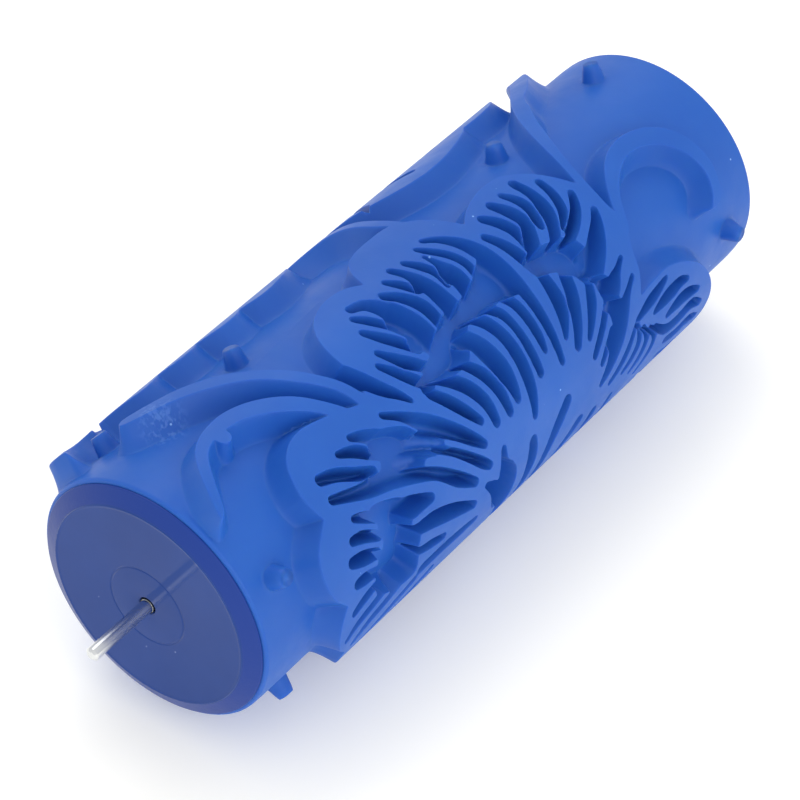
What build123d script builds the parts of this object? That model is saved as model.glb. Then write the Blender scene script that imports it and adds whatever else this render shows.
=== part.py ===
"""Textured pattern roller: a moulded rubber sleeve with a raised flower pattern on a hollow core.

Frame: origin on the roller's axis at mid length, +Y along the axis, +Z up. Units are mm.
Pattern outlines are laid out flat as (y, s), where s is the distance round the drum at
DRUM_R, measured from +X toward +Z. Each one is then rolled onto the drum.
"""

from math import cos, hypot, pi, radians, sin
import os

from build123d import *

# ---- driving dimensions -------------------------------------------------------------------
DRUM_R = 28.4  # plain outer radius of the rubber sleeve
SLEEVE_LEN = 178.0  # seven-inch roller
RELIEF = 5.5  # height of the pattern above the drum
FLOOR = 0.35  # depth of skin left in the bottom of a groove
WALL_DRAFT = 1.3  # how far a raised outline spreads by the time it meets the drum
PEG_H = 4.3
PEG_BASE_R = 2.8
PEG_TIP_R = 1.9
RIM_ROUND = 0.8

CORE_R = 24.0  # rigid tube the rubber is moulded round
CORE_WALL = 2.0
CORE_LEN = SLEEVE_LEN - 2.0

CAP_R = 27.5
CAP_FACE_R = 23.8
CAP_PROUD = 2.2  # cap face beyond the end of the rubber
CAP_SPIGOT_R = CORE_R - CORE_WALL
CAP_SPIGOT_LEN = 14.0
CAP_PLATE = 1.8
CAP_HUB_R = 5.0
CAP_HUB_LEN = 16.0
CAP_RING_R = 9.3
CAP_RING_DEPTH = 0.15

AXLE_R = 1.5  # bare ends of the axle
AXLE_MID_R = 1.75  # shouldered middle that runs in the caps
AXLE_OUT = 17.0  # bare end beyond the cap face
AXLE_FIT = 0.05  # radial running clearance
CLIP_R = 4.2
CLIP_T = 0.8
CLIP_GROOVE_R = 1.3
CLIP_GAP = 0.4

HALF = SLEEVE_LEN / 2
FACE_Y = HALF + CAP_PROUD
TIP_Y = FACE_Y + AXLE_OUT

# ---- pattern, laid out flat ---------------------------------------------------------------
# A raised outline is a ring of runs; every run ends at the notch where the next one starts.
FLOWER = [
    [(-42.6, 28.6), (-40.2, 32.2), (-39.6, 38.0), (-38.5, 41.5), (-36.1, 44.5), (-33.2, 46.5),
     (-29.6, 47.7), (-26.1, 48.0), (-22.0, 47.3), (-18.6, 45.2)],
    [(-18.6, 45.2), (-17.0, 48.6), (-14.2, 51.3), (-10.5, 52.6), (-5.0, 52.9), (0.5, 52.4),
     (4.4, 49.8), (7.6, 45.5), (10.1, 41.1)],
    [(10.1, 41.1), (14.0, 43.1), (18.5, 44.3), (23.5, 44.7), (28.5, 43.6), (33.2, 39.8),
     (36.4, 36.0), (38.9, 32.4)],
    [(38.9, 32.4), (40.4, 27.0), (40.9, 21.5), (39.1, 17.1), (38.6, 13.3), (36.6, 8.9)],
    [(36.6, 8.9), (41.5, 9.5), (47.4, 9.6), (53.8, 7.7), (59.7, 4.0), (63.6, -1.5),
     (65.2, -8.0), (64.2, -14.5), (60.0, -20.0), (54.0, -23.0)],
    [(54.0, -23.0), (53.6, -29.0), (49.0, -34.5), (42.0, -37.2), (35.0, -37.0), (29.5, -34.5)],
    [(29.5, -34.5), (26.0, -40.5), (19.0, -44.6), (11.0, -46.0), (3.5, -44.4), (-1.0, -40.0)],
    [(-1.0, -40.0), (-6.0, -44.0), (-13.0, -46.0), (-20.5, -44.6), (-26.5, -40.6), (-29.0, -35.5)],
    [(-29.0, -35.5), (-35.0, -38.4), (-42.5, -37.8), (-48.5, -33.6), (-51.5, -27.0), (-51.0, -22.5)],
    [(-51.0, -22.5), (-57.0, -23.6), (-63.0, -21.4), (-67.2, -16.6), (-68.2, -11.0)],
    [(-68.2, -11.0), (-71.2, -8.0), (-72.4, -4.0), (-71.8, -0.5), (-69.9, 2.3)],
    [(-69.9, 2.3), (-73.4, 6.0), (-74.5, 10.6), (-73.0, 15.0), (-68.0, 18.8)],
    [(-68.0, 18.8), (-69.5, 23.5), (-67.8, 28.7), (-64.0, 31.6), (-59.0, 32.5), (-53.0, 31.5),
     (-48.0, 30.2), (-42.6, 28.6)],
]
OUTER_LEAF = [
    [(-78.4, 58.4), (-77.2, 59.3), (-75.0, 59.3), (-69.5, 57.4), (-63.6, 54.8),
     (-56.5, 49.8), (-49.5, 42.7), (-45.9, 38.0), (-43.0, 33.5), (-41.0, 27.5)],
    [(-41.0, 27.5), (-44.0, 28.4)],
    [(-44.0, 28.4), (-45.6, 33.5), (-50.0, 39.2), (-55.9, 45.6), (-63.6, 50.9), (-69.5, 54.0),
     (-75.0, 56.2), (-77.4, 57.4), (-78.4, 58.4)],
]
INNER_LEAF = [
    [(-86.8, 29.8), (-85.3, 33.0), (-82.0, 38.0), (-78.0, 41.8), (-73.0, 43.6), (-66.5, 43.8),
     (-60.0, 41.8), (-54.0, 38.0), (-49.4, 33.0), (-46.0, 28.5)],
    [(-46.0, 28.5), (-50.5, 30.2)],
    [(-50.5, 30.2), (-54.0, 34.0), (-60.0, 38.0), (-66.5, 40.6), (-73.0, 41.0), (-77.5, 39.4),
     (-81.5, 35.2), (-85.0, 30.6), (-86.8, 29.8)],
]
BLADE = [
    [(38.0, 31.0), (39.7, 36.8), (42.6, 44.2), (47.6, 51.3), (54.8, 57.8), (61.5, 62.6), (67.5, 67.2),
     (71.6, 72.0), (76.0, 77.0)],
    [(76.0, 77.0), (76.4, 71.5), (71.5, 65.0), (63.4, 59.2), (57.6, 56.4), (53.8, 52.6)],
    [(53.8, 52.6), (49.8, 49.0), (45.9, 44.0), (42.6, 38.6), (40.6, 32.0), (40.4, 24.0)],
    [(40.4, 24.0), (38.0, 31.0)],
]
CRESCENT = [
    [(39.8, 20.0), (41.5, 25.9), (45.6, 30.6), (51.0, 33.6), (58.0, 34.3), (65.0, 32.3),
     (70.0, 28.1), (72.8, 21.8), (72.8, 16.5), (70.9, 12.6), (67.4, 12.2)],
    [(67.4, 12.2), (69.4, 15.0), (70.0, 19.5), (67.8, 24.7), (62.6, 29.2), (56.0, 30.9),
     (49.8, 29.5), (44.6, 25.8), (41.4, 20.6), (39.8, 20.0)],
]
# the far side of the drum
BACK_FLOWER = [
    [(46.0, 64.4), (42.0, 61.8), (35.0, 59.4), (28.0, 58.2), (21.0, 58.6), (14.0, 61.2), (8.0, 66.4),
     (3.0, 73.0), (-2.0, 79.0)],
    [(-2.0, 79.0), (-9.0, 79.5), (-15.6, 82.5), (-19.0, 88.0), (-18.5, 93.0), (-16.0, 97.0)],
    [(-16.0, 97.0), (-19.0, 103.0), (-16.5, 109.5), (-10.0, 113.5), (-3.0, 113.0)],
    [(-3.0, 113.0), (2.0, 119.0), (10.5, 121.5), (18.5, 119.5), (23.5, 113.8)],
    [(23.5, 113.8), (31.0, 117.0), (39.5, 115.5), (45.5, 109.6), (46.5, 102.5)],
    [(46.5, 102.5), (54.0, 102.0), (60.0, 97.0), (61.5, 90.5), (59.0, 84.5)],
    [(59.0, 84.5), (63.6, 78.5), (63.6, 71.5), (58.6, 66.0), (52.0, 64.2), (46.0, 64.4)],
]
BACK_LEAF = [
    [(-13.6, 70.0), (-17.0, 66.4), (-22.5, 64.2), (-27.5, 64.4), (-30.8, 66.8)],
    [(-30.8, 66.8), (-34.6, 64.8), (-39.6, 65.0), (-43.8, 68.0)],
    [(-43.8, 68.0), (-47.6, 66.0), (-51.6, 66.2), (-55.6, 68.6)],
    [(-55.6, 68.6), (-60.0, 66.2), (-65.0, 66.8), (-70.0, 72.0)],
    [(-70.0, 72.0), (-76.0, 74.4), (-81.5, 72.0), (-85.4, 67.0)],
    [(-85.4, 67.0), (-85.8, 73.0), (-80.0, 79.5), (-68.0, 82.5), (-54.0, 83.5), (-40.0, 83.0),
     (-28.0, 80.0), (-18.0, 75.4), (-13.6, 70.0)],
]
BRACT = [
    [(2.2, 50.4), (0.4, 54.5), (0.2, 58.5), (0.2, 62.5), (-0.8, 66.8), (-3.6, 70.4), (-8.2, 73.6)],
    [(-8.2, 73.6), (-4.0, 74.2), (-0.2, 70.8), (1.9, 66.5), (2.7, 62.0), (2.8, 56.0), (3.8, 50.4)],
    [(3.8, 50.4), (2.2, 50.4)],
]
BACK_FROND = [
    [(-83.0, 108.0), (-76.0, 99.0), (-66.0, 92.5), (-54.0, 90.0), (-40.0, 91.5), (-27.0, 101.0)],
    [(-27.0, 101.0), (-35.0, 114.0), (-48.0, 120.6), (-62.0, 121.5), (-74.0, 117.0), (-83.0, 108.0)],
]
FAR_LEAF = [
    [(65.5, 95.0), (72.0, 92.0), (78.0, 94.5), (81.5, 102.0), (80.5, 111.0), (74.0, 121.5)],
    [(74.0, 121.5), (67.5, 116.0), (64.5, 109.0), (64.0, 101.5), (65.5, 95.0)],
]
RAISED = [
    FLOWER, OUTER_LEAF, INNER_LEAF, BLADE, CRESCENT, BACK_FLOWER, BACK_LEAF, BRACT, BACK_FROND, FAR_LEAF,
]

# A groove is a stroke: (y, s, half width) from its closed end to its open end.
PETAL_GROOVES = [
    [(-33.8, 23.9, 0.5), (-35.5, 26.2, 1.0), (-37.6, 28.6, 1.5), (-39.4, 31.4, 1.8), (-41.0, 34.6, 1.8)],
    [(-34.2, 31.8, 0.7), (-32.3, 29.2, 1.1), (-30.2, 26.5, 1.3), (-28.5, 24.4, 1.1)],
    [(-31.9, 33.6, 0.7), (-29.6, 30.6, 1.2), (-27.0, 27.9, 1.3), (-25.0, 26.0, 1.0)],
    [(-30.1, 38.0, 0.8), (-28.3, 35.4, 1.2), (-26.1, 32.6, 1.3), (-24.2, 29.8, 1.0)],
    [(-28.4, 41.1, 0.8), (-26.6, 39.0, 1.1), (-24.8, 36.2, 0.9), (-23.4, 33.5, 0.8)],
    [(-26.6, 43.0, 0.9), (-23.6, 41.8, 1.4), (-21.4, 38.0, 2.4), (-20.6, 33.0, 3.2), (-20.4, 28.6, 2.8)],
    [(-18.9, 41.0, 0.8), (-16.6, 38.4, 1.3), (-14.9, 34.6, 1.6), (-15.2, 30.5, 1.3)],
    [(-15.4, 42.6, 0.7), (-13.7, 40.1, 1.1), (-12.5, 37.4, 0.8)],
    [(-11.8, 43.7, 0.8), (-10.5, 40.8, 1.1), (-9.9, 36.8, 1.9), (-10.1, 31.5, 2.3)],
    [(-8.1, 43.1, 0.7), (-6.6, 40.6, 1.1), (-5.7, 37.8, 1.0), (-6.4, 34.6, 0.6)],
    [(-3.8, 41.6, 0.4), (-3.2, 38.6, 0.9), (-3.0, 35.2, 2.0), (-3.9, 31.6, 2.0)],
    [(-3.0, 43.6, 0.6), (-1.3, 41.2, 0.9), (0.6, 38.2, 1.0), (1.3, 35.0, 1.0), (0.2, 31.6, 0.8)],
    [(0.0, 44.2, 0.6), (2.4, 42.4, 0.9), (4.8, 39.0, 1.5), (6.2, 34.6, 2.1), (6.9, 29.0, 1.9),
     (7.2, 23.0, 1.4), (7.3, 15.5, 1.1), (7.3, 10.2, 0.8)],
    [(10.2, 36.6, 0.9), (11.5, 34.2, 1.2), (12.5, 31.0, 1.5), (12.9, 27.6, 1.4)],
    [(14.0, 39.6, 1.0), (15.8, 37.0, 1.4), (16.7, 33.8, 1.4), (15.9, 30.0, 1.0)],
    [(18.7, 40.4, 1.1), (20.1, 37.2, 1.6), (20.5, 34.2, 1.5), (18.6, 30.8, 1.2), (16.2, 28.0, 0.9)],
    [(22.8, 40.7, 0.7), (24.2, 37.8, 1.2), (24.2, 35.0, 1.2), (22.6, 31.6, 0.8)],
    [(27.6, 40.8, 1.1), (28.0, 37.2, 1.3), (27.2, 33.4, 1.6), (24.8, 29.8, 1.3), (21.6, 27.2, 1.0)],
    [(32.1, 37.8, 0.9), (31.7, 34.4, 1.1), (30.0, 31.0, 1.1), (27.0, 28.2, 0.8)],
    [(35.4, 32.4, 0.8), (33.2, 29.9, 1.1), (29.2, 27.4, 1.0), (25.0, 26.2, 0.9)],
    [(36.7, 27.4, 0.8), (34.8, 25.2, 1.4), (31.4, 22.6, 2.2), (27.6, 20.2, 2.6)],
    [(35.2, 17.7, 0.5), (32.6, 16.3, 0.8), (29.8, 14.6, 1.9), (27.6, 13.0, 1.6)],
    [(36.0, 13.5, 0.5), (33.0, 11.5, 0.8), (30.0, 9.0, 1.8), (26.6, 5.0, 2.2), (22.6, 0.6, 1.5),
     (19.8, -1.6, 0.8)],
    [(-63.6, 24.1, 1.0), (-59.6, 23.0, 1.2), (-55.6, 20.9, 1.2), (-51.6, 19.2, 1.0)],
    [(-56.4, 25.3, 0.6), (-53.0, 24.0, 1.1), (-50.4, 22.3, 1.2), (-48.0, 20.6, 1.0)],
    [(-51.6, 26.1, 0.6), (-48.4, 24.6, 1.2), (-45.4, 22.0, 2.1), (-43.4, 19.8, 2.0)],
    [(-64.0, 20.3, 0.8), (-60.0, 19.0, 1.1), (-55.0, 17.4, 1.4), (-49.0, 16.0, 1.6), (-43.0, 13.6, 1.3),
     (-37.0, 10.8, 1.2), (-31.5, 6.6, 1.5), (-26.4, 3.0, 0.9)],
    [(-61.7, 15.3, 0.6), (-58.8, 14.1, 1.0), (-55.6, 12.4, 1.0)],
    [(-64.3, 12.3, 0.8), (-61.0, 11.5, 1.1), (-57.4, 9.6, 0.9)],
    [(-66.3, 9.1, 1.0), (-63.0, 8.2, 1.4), (-59.0, 7.0, 1.0)],
    [(-66.3, 4.7, 0.9), (-63.4, 4.4, 1.2), (-59.6, 3.8, 0.8)],
    [(-67.9, -0.6, 0.8), (-64.6, 0.5, 1.0), (-60.0, 1.4, 0.8)],
    [(-69.4, -6.4, 0.8), (-66.8, -4.4, 1.0), (-61.4, -2.8, 1.0), (-57.4, -1.6, 1.0)],
    [(-66.2, -9.8, 0.8), (-62.6, -7.2, 1.1), (-57.0, -5.6, 1.1), (-52.4, -4.0, 1.0)],
    [(-62.0, -15.0, 0.8), (-57.4, -11.6, 1.2), (-51.8, -9.4, 1.2), (-46.6, -7.6, 1.0)],
    [(-54.6, -18.6, 0.8), (-50.0, -14.8, 1.3), (-44.6, -12.2, 1.3), (-39.6, -10.0, 1.0)],
]
HEART_GROOVES = [
    [(-42.4, 26.0, 0.7), (-38.0, 22.8, 1.0), (-33.4, 18.8, 1.4), (-28.4, 14.8, 1.5), (-24.0, 11.2, 1.3),
     (-21.0, 8.0, 0.9)],
    [(-35.0, 14.8, 0.5), (-31.0, 12.4, 0.9), (-27.0, 9.0, 1.2), (-23.4, 5.6, 1.3), (-20.6, 3.3, 0.9)],
    [(-20.6, 12.6, 0.8), (-23.2, 15.9, 1.2), (-26.1, 19.5, 1.3), (-29.0, 22.6, 1.0)],
    [(-16.5, 10.3, 1.1), (-17.3, 14.6, 1.4), (-19.6, 18.7, 1.5), (-22.6, 21.7, 1.3), (-25.6, 23.8, 1.0)],
    [(-11.9, 9.9, 1.0), (-12.8, 15.2, 1.4), (-14.9, 19.4, 1.3), (-18.0, 22.8, 0.9)],
    [(-8.6, 10.8, 0.9), (-8.7, 13.4, 1.5), (-9.3, 17.6, 2.1), (-11.0, 22.0, 2.3), (-12.6, 25.6, 1.5)],
    [(-4.7, 5.2, 0.8), (-4.0, 9.5, 1.4), (-3.8, 15.4, 1.6), (-4.4, 21.2, 1.5), (-6.3, 25.4, 1.4),
     (-9.1, 27.8, 1.0)],
    [(0.1, 11.6, 1.0), (-0.1, 16.5, 1.1), (-0.5, 21.2, 1.0), (-1.5, 24.7, 1.1), (-3.8, 27.0, 0.9)],
    [(3.7, 14.4, 0.7), (3.8, 17.2, 1.1), (3.6, 21.2, 1.2), (2.8, 24.8, 1.2), (0.6, 27.3, 0.8)],
    [(10.7, 13.4, 0.6), (11.7, 15.2, 1.1), (13.1, 18.4, 1.8), (13.6, 22.0, 1.7), (13.6, 25.6, 1.2)],
    [(13.3, 10.4, 1.1), (15.4, 14.0, 1.4), (17.5, 18.4, 1.7), (18.8, 22.2, 1.6)],
    [(17.4, 9.9, 0.7), (19.6, 12.4, 1.1), (22.0, 15.6, 1.4), (23.6, 18.8, 0.9)],
    [(17.8, 5.8, 0.8), (19.7, 7.5, 0.9), (22.5, 9.9, 0.9), (25.2, 12.6, 0.8)],
    [(20.0, 3.0, 0.7), (22.4, 5.3, 0.9), (24.8, 7.6, 0.8)],
    [(-50.6, 10.9, 1.6), (-47.0, 10.0, 1.8), (-43.4, 8.8, 1.4), (-40.0, 7.9, 0.7)],
    [(-51.4, 4.6, 1.5), (-46.6, 3.4, 2.0), (-40.6, 2.4, 2.0), (-33.6, 0.4, 1.6), (-26.6, -2.4, 0.8)],
    [(-48.6, -1.8, 1.2), (-43.0, -1.9, 1.2), (-37.6, -2.6, 0.7)],
    [(-44.8, -6.0, 1.2), (-38.4, -5.8, 1.2), (-31.0, -6.2, 1.1), (-25.4, -6.6, 0.7)],
    [(-16.3, 4.4, 0.8), (-16.4, 1.0, 1.4), (-15.2, -3.4, 3.4), (-14.2, -8.8, 2.8), (-14.6, -15.4, 1.6)],
    [(-22.8, 0.1, 0.6), (-19.4, -2.8, 1.6), (-17.4, -7.0, 2.0)],
    [(-6.0, 0.2, 1.3), (-5.8, -4.4, 1.8), (-6.4, -10.0, 1.5), (-8.2, -17.0, 1.5), (-10.6, -24.4, 1.1)],
    [(6.6, 1.8, 1.5), (3.2, -1.8, 1.8), (0.8, -6.2, 1.5), (-0.8, -13.0, 1.6), (-2.2, -22.0, 1.3)],
    [(12.6, -6.8, 1.6), (9.0, -11.0, 1.7), (6.6, -17.0, 1.5), (5.4, -24.6, 1.2)],
    [(19.0, -8.6, 1.4), (17.4, -13.4, 1.6), (15.2, -19.4, 1.5), (13.6, -26.0, 1.2)],
    [(26.0, -9.0, 0.9), (25.2, -14.4, 1.4), (23.4, -20.6, 1.4), (21.6, -27.0, 1.1)],
    [(33.2, 4.4, 0.5), (30.0, 0.6, 0.9), (26.4, -2.2, 0.9), (23.6, -3.7, 0.7)],
    [(34.2, 3.6, 0.5), (34.2, 0.2, 0.9), (31.8, -2.6, 0.9), (28.6, -4.2, 0.6)],
    [(36.0, 2.4, 0.6), (37.4, -0.8, 0.9), (35.6, -4.0, 0.9), (32.2, -6.4, 0.6)],
    [(38.6, 0.8, 0.7), (40.8, -2.4, 0.9), (39.2, -6.0, 0.9), (35.4, -8.8, 0.6)],
    [(33.8, 5.0, 0.5), (38.5, 6.2, 1.2), (42.5, 7.0, 1.1), (46.3, 8.0, 0.5)],
    [(40.4, 3.4, 0.5), (44.0, 4.0, 1.3), (48.0, 4.4, 1.5), (51.2, 4.6, 1.1), (53.8, 4.0, 0.6)],
    [(45.4, 0.0, 0.6), (49.5, 0.6, 1.4), (53.5, 0.6, 1.4), (58.0, -0.6, 0.7)],
    [(40.6, 0.0, 0.6), (45.6, -3.6, 1.2), (51.0, -4.0, 1.5), (56.0, -3.4, 1.4), (60.2, -5.4, 0.8)],
    [(47.0, -7.4, 0.9), (51.6, -8.4, 1.4), (56.6, -8.0, 1.4), (60.8, -9.8, 0.8)],
    [(46.0, -11.6, 0.9), (50.6, -13.4, 1.3), (55.2, -14.0, 1.2), (58.4, -15.6, 0.8)],
    [(40.6, -13.0, 0.9), (43.4, -17.4, 1.3), (45.8, -22.6, 1.3), (47.4, -28.0, 0.9)],
    [(34.8, -14.6, 0.9), (36.4, -19.6, 1.3), (37.6, -25.4, 1.3), (38.4, -31.6, 0.9)],
]
LOWER_GROOVES = [
    [(23.4, -38.0, 0.9), (21.8, -33.6, 1.2), (20.6, -29.4, 1.1)],
    [(16.4, -41.4, 0.9), (15.4, -36.6, 1.3), (14.4, -30.6, 1.2)],
    [(9.6, -42.0, 0.9), (9.0, -37.0, 1.3), (8.0, -30.4, 1.2)],
    [(3.6, -40.0, 0.9), (3.2, -35.4, 1.2), (2.0, -29.6, 1.1)],
    [(-6.6, -39.6, 0.9), (-6.6, -35.2, 1.2), (-5.6, -29.4, 1.2)],
    [(-13.0, -41.6, 0.9), (-12.2, -36.6, 1.3), (-11.2, -30.4, 1.2)],
    [(-19.6, -40.2, 0.9), (-17.6, -35.6, 1.2), (-16.0, -29.6, 1.2)],
    [(-24.6, -35.6, 0.9), (-21.8, -31.0, 1.2), (-18.6, -25.4, 1.0)],
    [(-33.0, -33.6, 0.9), (-29.0, -28.2, 1.3), (-24.6, -22.2, 1.1)],
    [(-40.0, -33.2, 0.9), (-35.4, -27.6, 1.3), (-29.8, -21.2, 1.1)],
    [(-46.2, -28.8, 0.9), (-41.2, -23.6, 1.3), (-34.6, -18.0, 1.1)],
]
BACK_GROOVES = [
    [(21.0 + 10.0 * cos(a), 89.0 + 9.0 * sin(a), 1.0),
     (21.0 + 19.0 * cos(a + 0.06), 88.5 + 16.5 * sin(a + 0.06), 1.8),
     (21.0 + 29.0 * cos(a + 0.16), 88.0 + 24.5 * sin(a + 0.16), 1.0)]
    for a in [radians(30.0 * k) for k in range(12)]
]
BACK_VEINS = [
    [(-72.0 + 10.0 * k, 72.8, 0.6), (-69.5 + 10.0 * k, 75.6, 1.1), (-65.5 + 10.0 * k, 78.4, 0.6)]
    for k in range(5)
]
FROND_VEINS = [
    [(-71.0 + 10.0 * k, 102.5, 0.6), (-68.0 + 10.0 * k, 106.5, 1.1), (-63.5 + 10.0 * k, 110.5, 0.6)]
    for k in range(3)
]
GROOVES = PETAL_GROOVES + HEART_GROOVES + LOWER_GROOVES + BACK_GROOVES + BACK_VEINS + FROND_VEINS

# Hollows open the ends of the grooves into each other.
HOLLOWS = [
    [(-30.0, 23.6), (-27.0, 25.4), (-24.0, 26.6), (-19.6, 27.2), (-16.5, 29.6), (-13.0, 30.6),
     (-9.5, 30.4), (-5.0, 31.0), (-1.0, 31.8), (2.5, 33.2), (5.6, 34.6), (7.4, 31.4), (7.4, 27.0),
     (5.4, 25.8), (1.0, 27.4), (-3.5, 27.2), (-8.8, 28.1), (-13.5, 26.8), (-16.0, 24.3),
     (-18.5, 23.2), (-22.0, 23.2), (-25.5, 24.2), (-28.5, 22.8)],
    [(12.0, 28.4), (15.0, 28.9), (18.0, 28.4), (21.4, 27.6), (24.4, 26.4), (26.0, 23.4),
     (25.4, 19.0), (23.2, 18.6), (21.6, 20.8), (19.8, 23.2), (17.4, 24.2), (14.8, 25.2), (12.6, 25.8)],
    [(25.2, 16.8), (27.6, 17.4), (29.2, 15.4), (29.4, 12.4), (30.2, 9.4), (28.4, 7.2),
     (26.4, 5.8), (26.0, 10.0), (25.6, 13.6)],
    [(-56.6, 13.6), (-53.4, 12.8), (-50.4, 11.8), (-50.4, 8.8), (-51.0, 6.0), (-50.8, 2.4),
     (-55.0, -2.6), (-58.6, -1.0), (-59.6, 3.2), (-58.6, 7.0), (-57.0, 9.6)],
    [(-55.4, 19.2), (-51.6, 20.0), (-48.0, 20.8), (-44.4, 19.4), (-40.0, 17.4), (-36.0, 17.2),
     (-37.4, 15.4), (-43.6, 15.2), (-50.0, 16.8)],
]

# (y, s) of the spacing pegs
PEGS = [
    (-81.5, 15.1), (-46.8, 56.5), (39.3, 52.6), (76.5, 52.3), (78.0, 0.8), (-77.3, -21.8),
    (-77.0, 67.0), (78.0, -38.0), (-66.0, -50.0), (60.0, -56.0), (-80.0, 88.5), (76.0, 128.0),
]


# ---- rolling the layout onto the drum -----------------------------------------------------
def rolled(points, radius):
    """Points of the flat layout as positions on a drum of this radius."""
    return [(radius * cos(s / DRUM_R), y, radius * sin(s / DRUM_R)) for y, s in points]


def smoothed(run, steps=2):
    """Extra points between those of an open run, so its curve hugs the drum."""
    ends = [run[0]] + run + [run[-1]]
    out = []
    for a, b, c, d in zip(ends, ends[1:], ends[2:], ends[3:]):
        for k in range(steps):
            t = k / steps
            out.append(tuple(
                0.5 * (2 * q + (r - p) * t + (2 * p - 5 * q + 4 * r - v) * t**2
                       + (3 * q - p - 3 * r + v) * t**3)
                for p, q, r, v in zip(a, b, c, d)
            ))
    return out + [run[-1]]


def spread(ring, amount):
    """A ring of runs moved outward by amount, notches along their bisectors."""
    area = sum(a[0] * b[1] - b[0] * a[1] for run in ring for a, b in zip(run, run[1:]))
    side = 1 if area > 0 else -1
    flat = [p for run in ring for p in run[:-1]]
    moved = {}
    for before, here, after in zip(flat[-1:] + flat[:-1], flat, flat[1:] + flat[:1]):
        dy, ds = after[0] - before[0], after[1] - before[1]
        size = hypot(dy, ds)
        moved[here] = (here[0] + side * amount * ds / size, here[1] - side * amount * dy / size)
    return [[moved[p] for p in run] for run in ring]


def drum_face(radius, seam):
    """The side of a plain cylinder on the roller's axis, its seam at the angle given."""
    side = Plane((0, -HALF - 20, 0), x_dir=(cos(seam), 0, sin(seam)), z_dir=(0, 1, 0))
    return Solid.make_cylinder(radius, SLEEVE_LEN + 40, side).faces().filter_by(GeomType.CYLINDER)[0]


def radial_block(low_ring, high_ring, r_low, r_high):
    """A block with radial ends between two rings of runs, one on each radius."""
    middle = sum(p[1] for run in high_ring for p in run) / sum(len(run) for run in high_ring)
    seam = middle / DRUM_R + pi
    faces = []
    rims = []
    for ring, radius in ((low_ring, r_low), (high_ring, r_high)):
        rim = [Spline(*rolled(smoothed(run), radius)) for run in ring]
        rims.append(rim)
        whole = drum_face(radius, seam)
        faces.append(whole - whole.make_holes([Wire(rim)]))
    for low, high in zip(*rims):
        faces.append(Face.make_surface_from_curves(low, high))
    return Solid(Shell(faces))


def stroke_ring(stroke):
    """The outline of a stroke as a ring of two runs with rounded ends."""
    left, right = [], []
    for i, (y, s, w) in enumerate(stroke):
        before, after = stroke[max(i - 1, 0)], stroke[min(i + 1, len(stroke) - 1)]
        dy, ds = after[0] - before[0], after[1] - before[1]
        size = hypot(dy, ds)
        left.append((y - w * ds / size, s + w * dy / size))
        right.append((y + w * ds / size, s - w * dy / size))

    def nose(i, j):
        (y, s, w), (y2, s2, _) = stroke[i], stroke[j]
        size = hypot(y - y2, s - s2)
        return (y + w * (y - y2) / size, s + w * (s - s2) / size)

    start, end = nose(0, 1), nose(-1, -2)
    return [[start] + left + [end], [end] + right[::-1] + [start]]


# ---- the rubber sleeve --------------------------------------------------------------------
FOOT_R = DRUM_R - 0.5  # raised blocks and pegs start inside the drum
OPEN_R = DRUM_R + RELIEF + 1
raised = [radial_block(spread(ring, WALL_DRAFT), ring, FOOT_R, DRUM_R + RELIEF) for ring in RAISED]
sunk_rings = [stroke_ring(stroke) for stroke in GROOVES] + [[ring + ring[:1]] for ring in HOLLOWS]
sunk = [radial_block(ring, ring, DRUM_R + FLOOR, OPEN_R) for ring in sunk_rings]

with BuildPart() as rubber_sleeve:
    with BuildSketch() as wall:
        with Locations(((CORE_R + DRUM_R) / 2, 0)):
            Rectangle(DRUM_R - CORE_R, SLEEVE_LEN)
        fillet(wall.vertices().group_by(Axis.X)[-1], RIM_ROUND)
    revolve(axis=Axis.Y)
    add(raised)
    add(sunk, mode=Mode.SUBTRACT)
    for y, s in PEGS:
        out = (cos(s / DRUM_R), 0, sin(s / DRUM_R))
        with Locations(Plane((FOOT_R * out[0], y, FOOT_R * out[2]), z_dir=out)):
            Cone(
                PEG_BASE_R,
                PEG_TIP_R,
                PEG_H + DRUM_R - FOOT_R,
                align=(Align.CENTER, Align.CENTER, Align.MIN),
            )
rubber_sleeve.part.label = "rubber_sleeve"

# ---- the rigid tube inside it -------------------------------------------------------------
with BuildPart() as core_tube:
    with BuildSketch():
        with Locations((CORE_R - CORE_WALL / 2, 0)):
            Rectangle(CORE_WALL, CORE_LEN)
    revolve(axis=Axis.Y)
core_tube.part.label = "core_tube"

# ---- end caps -----------------------------------------------------------------------------
HUB_END_Y = FACE_Y - CAP_HUB_LEN
BORE_R = AXLE_MID_R + AXLE_FIT
SPIGOT_Y = HALF - CAP_SPIGOT_LEN
CAP_BACK_Y = FACE_Y - CAP_PLATE
FLANGE_EDGE = 0.5

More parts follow.
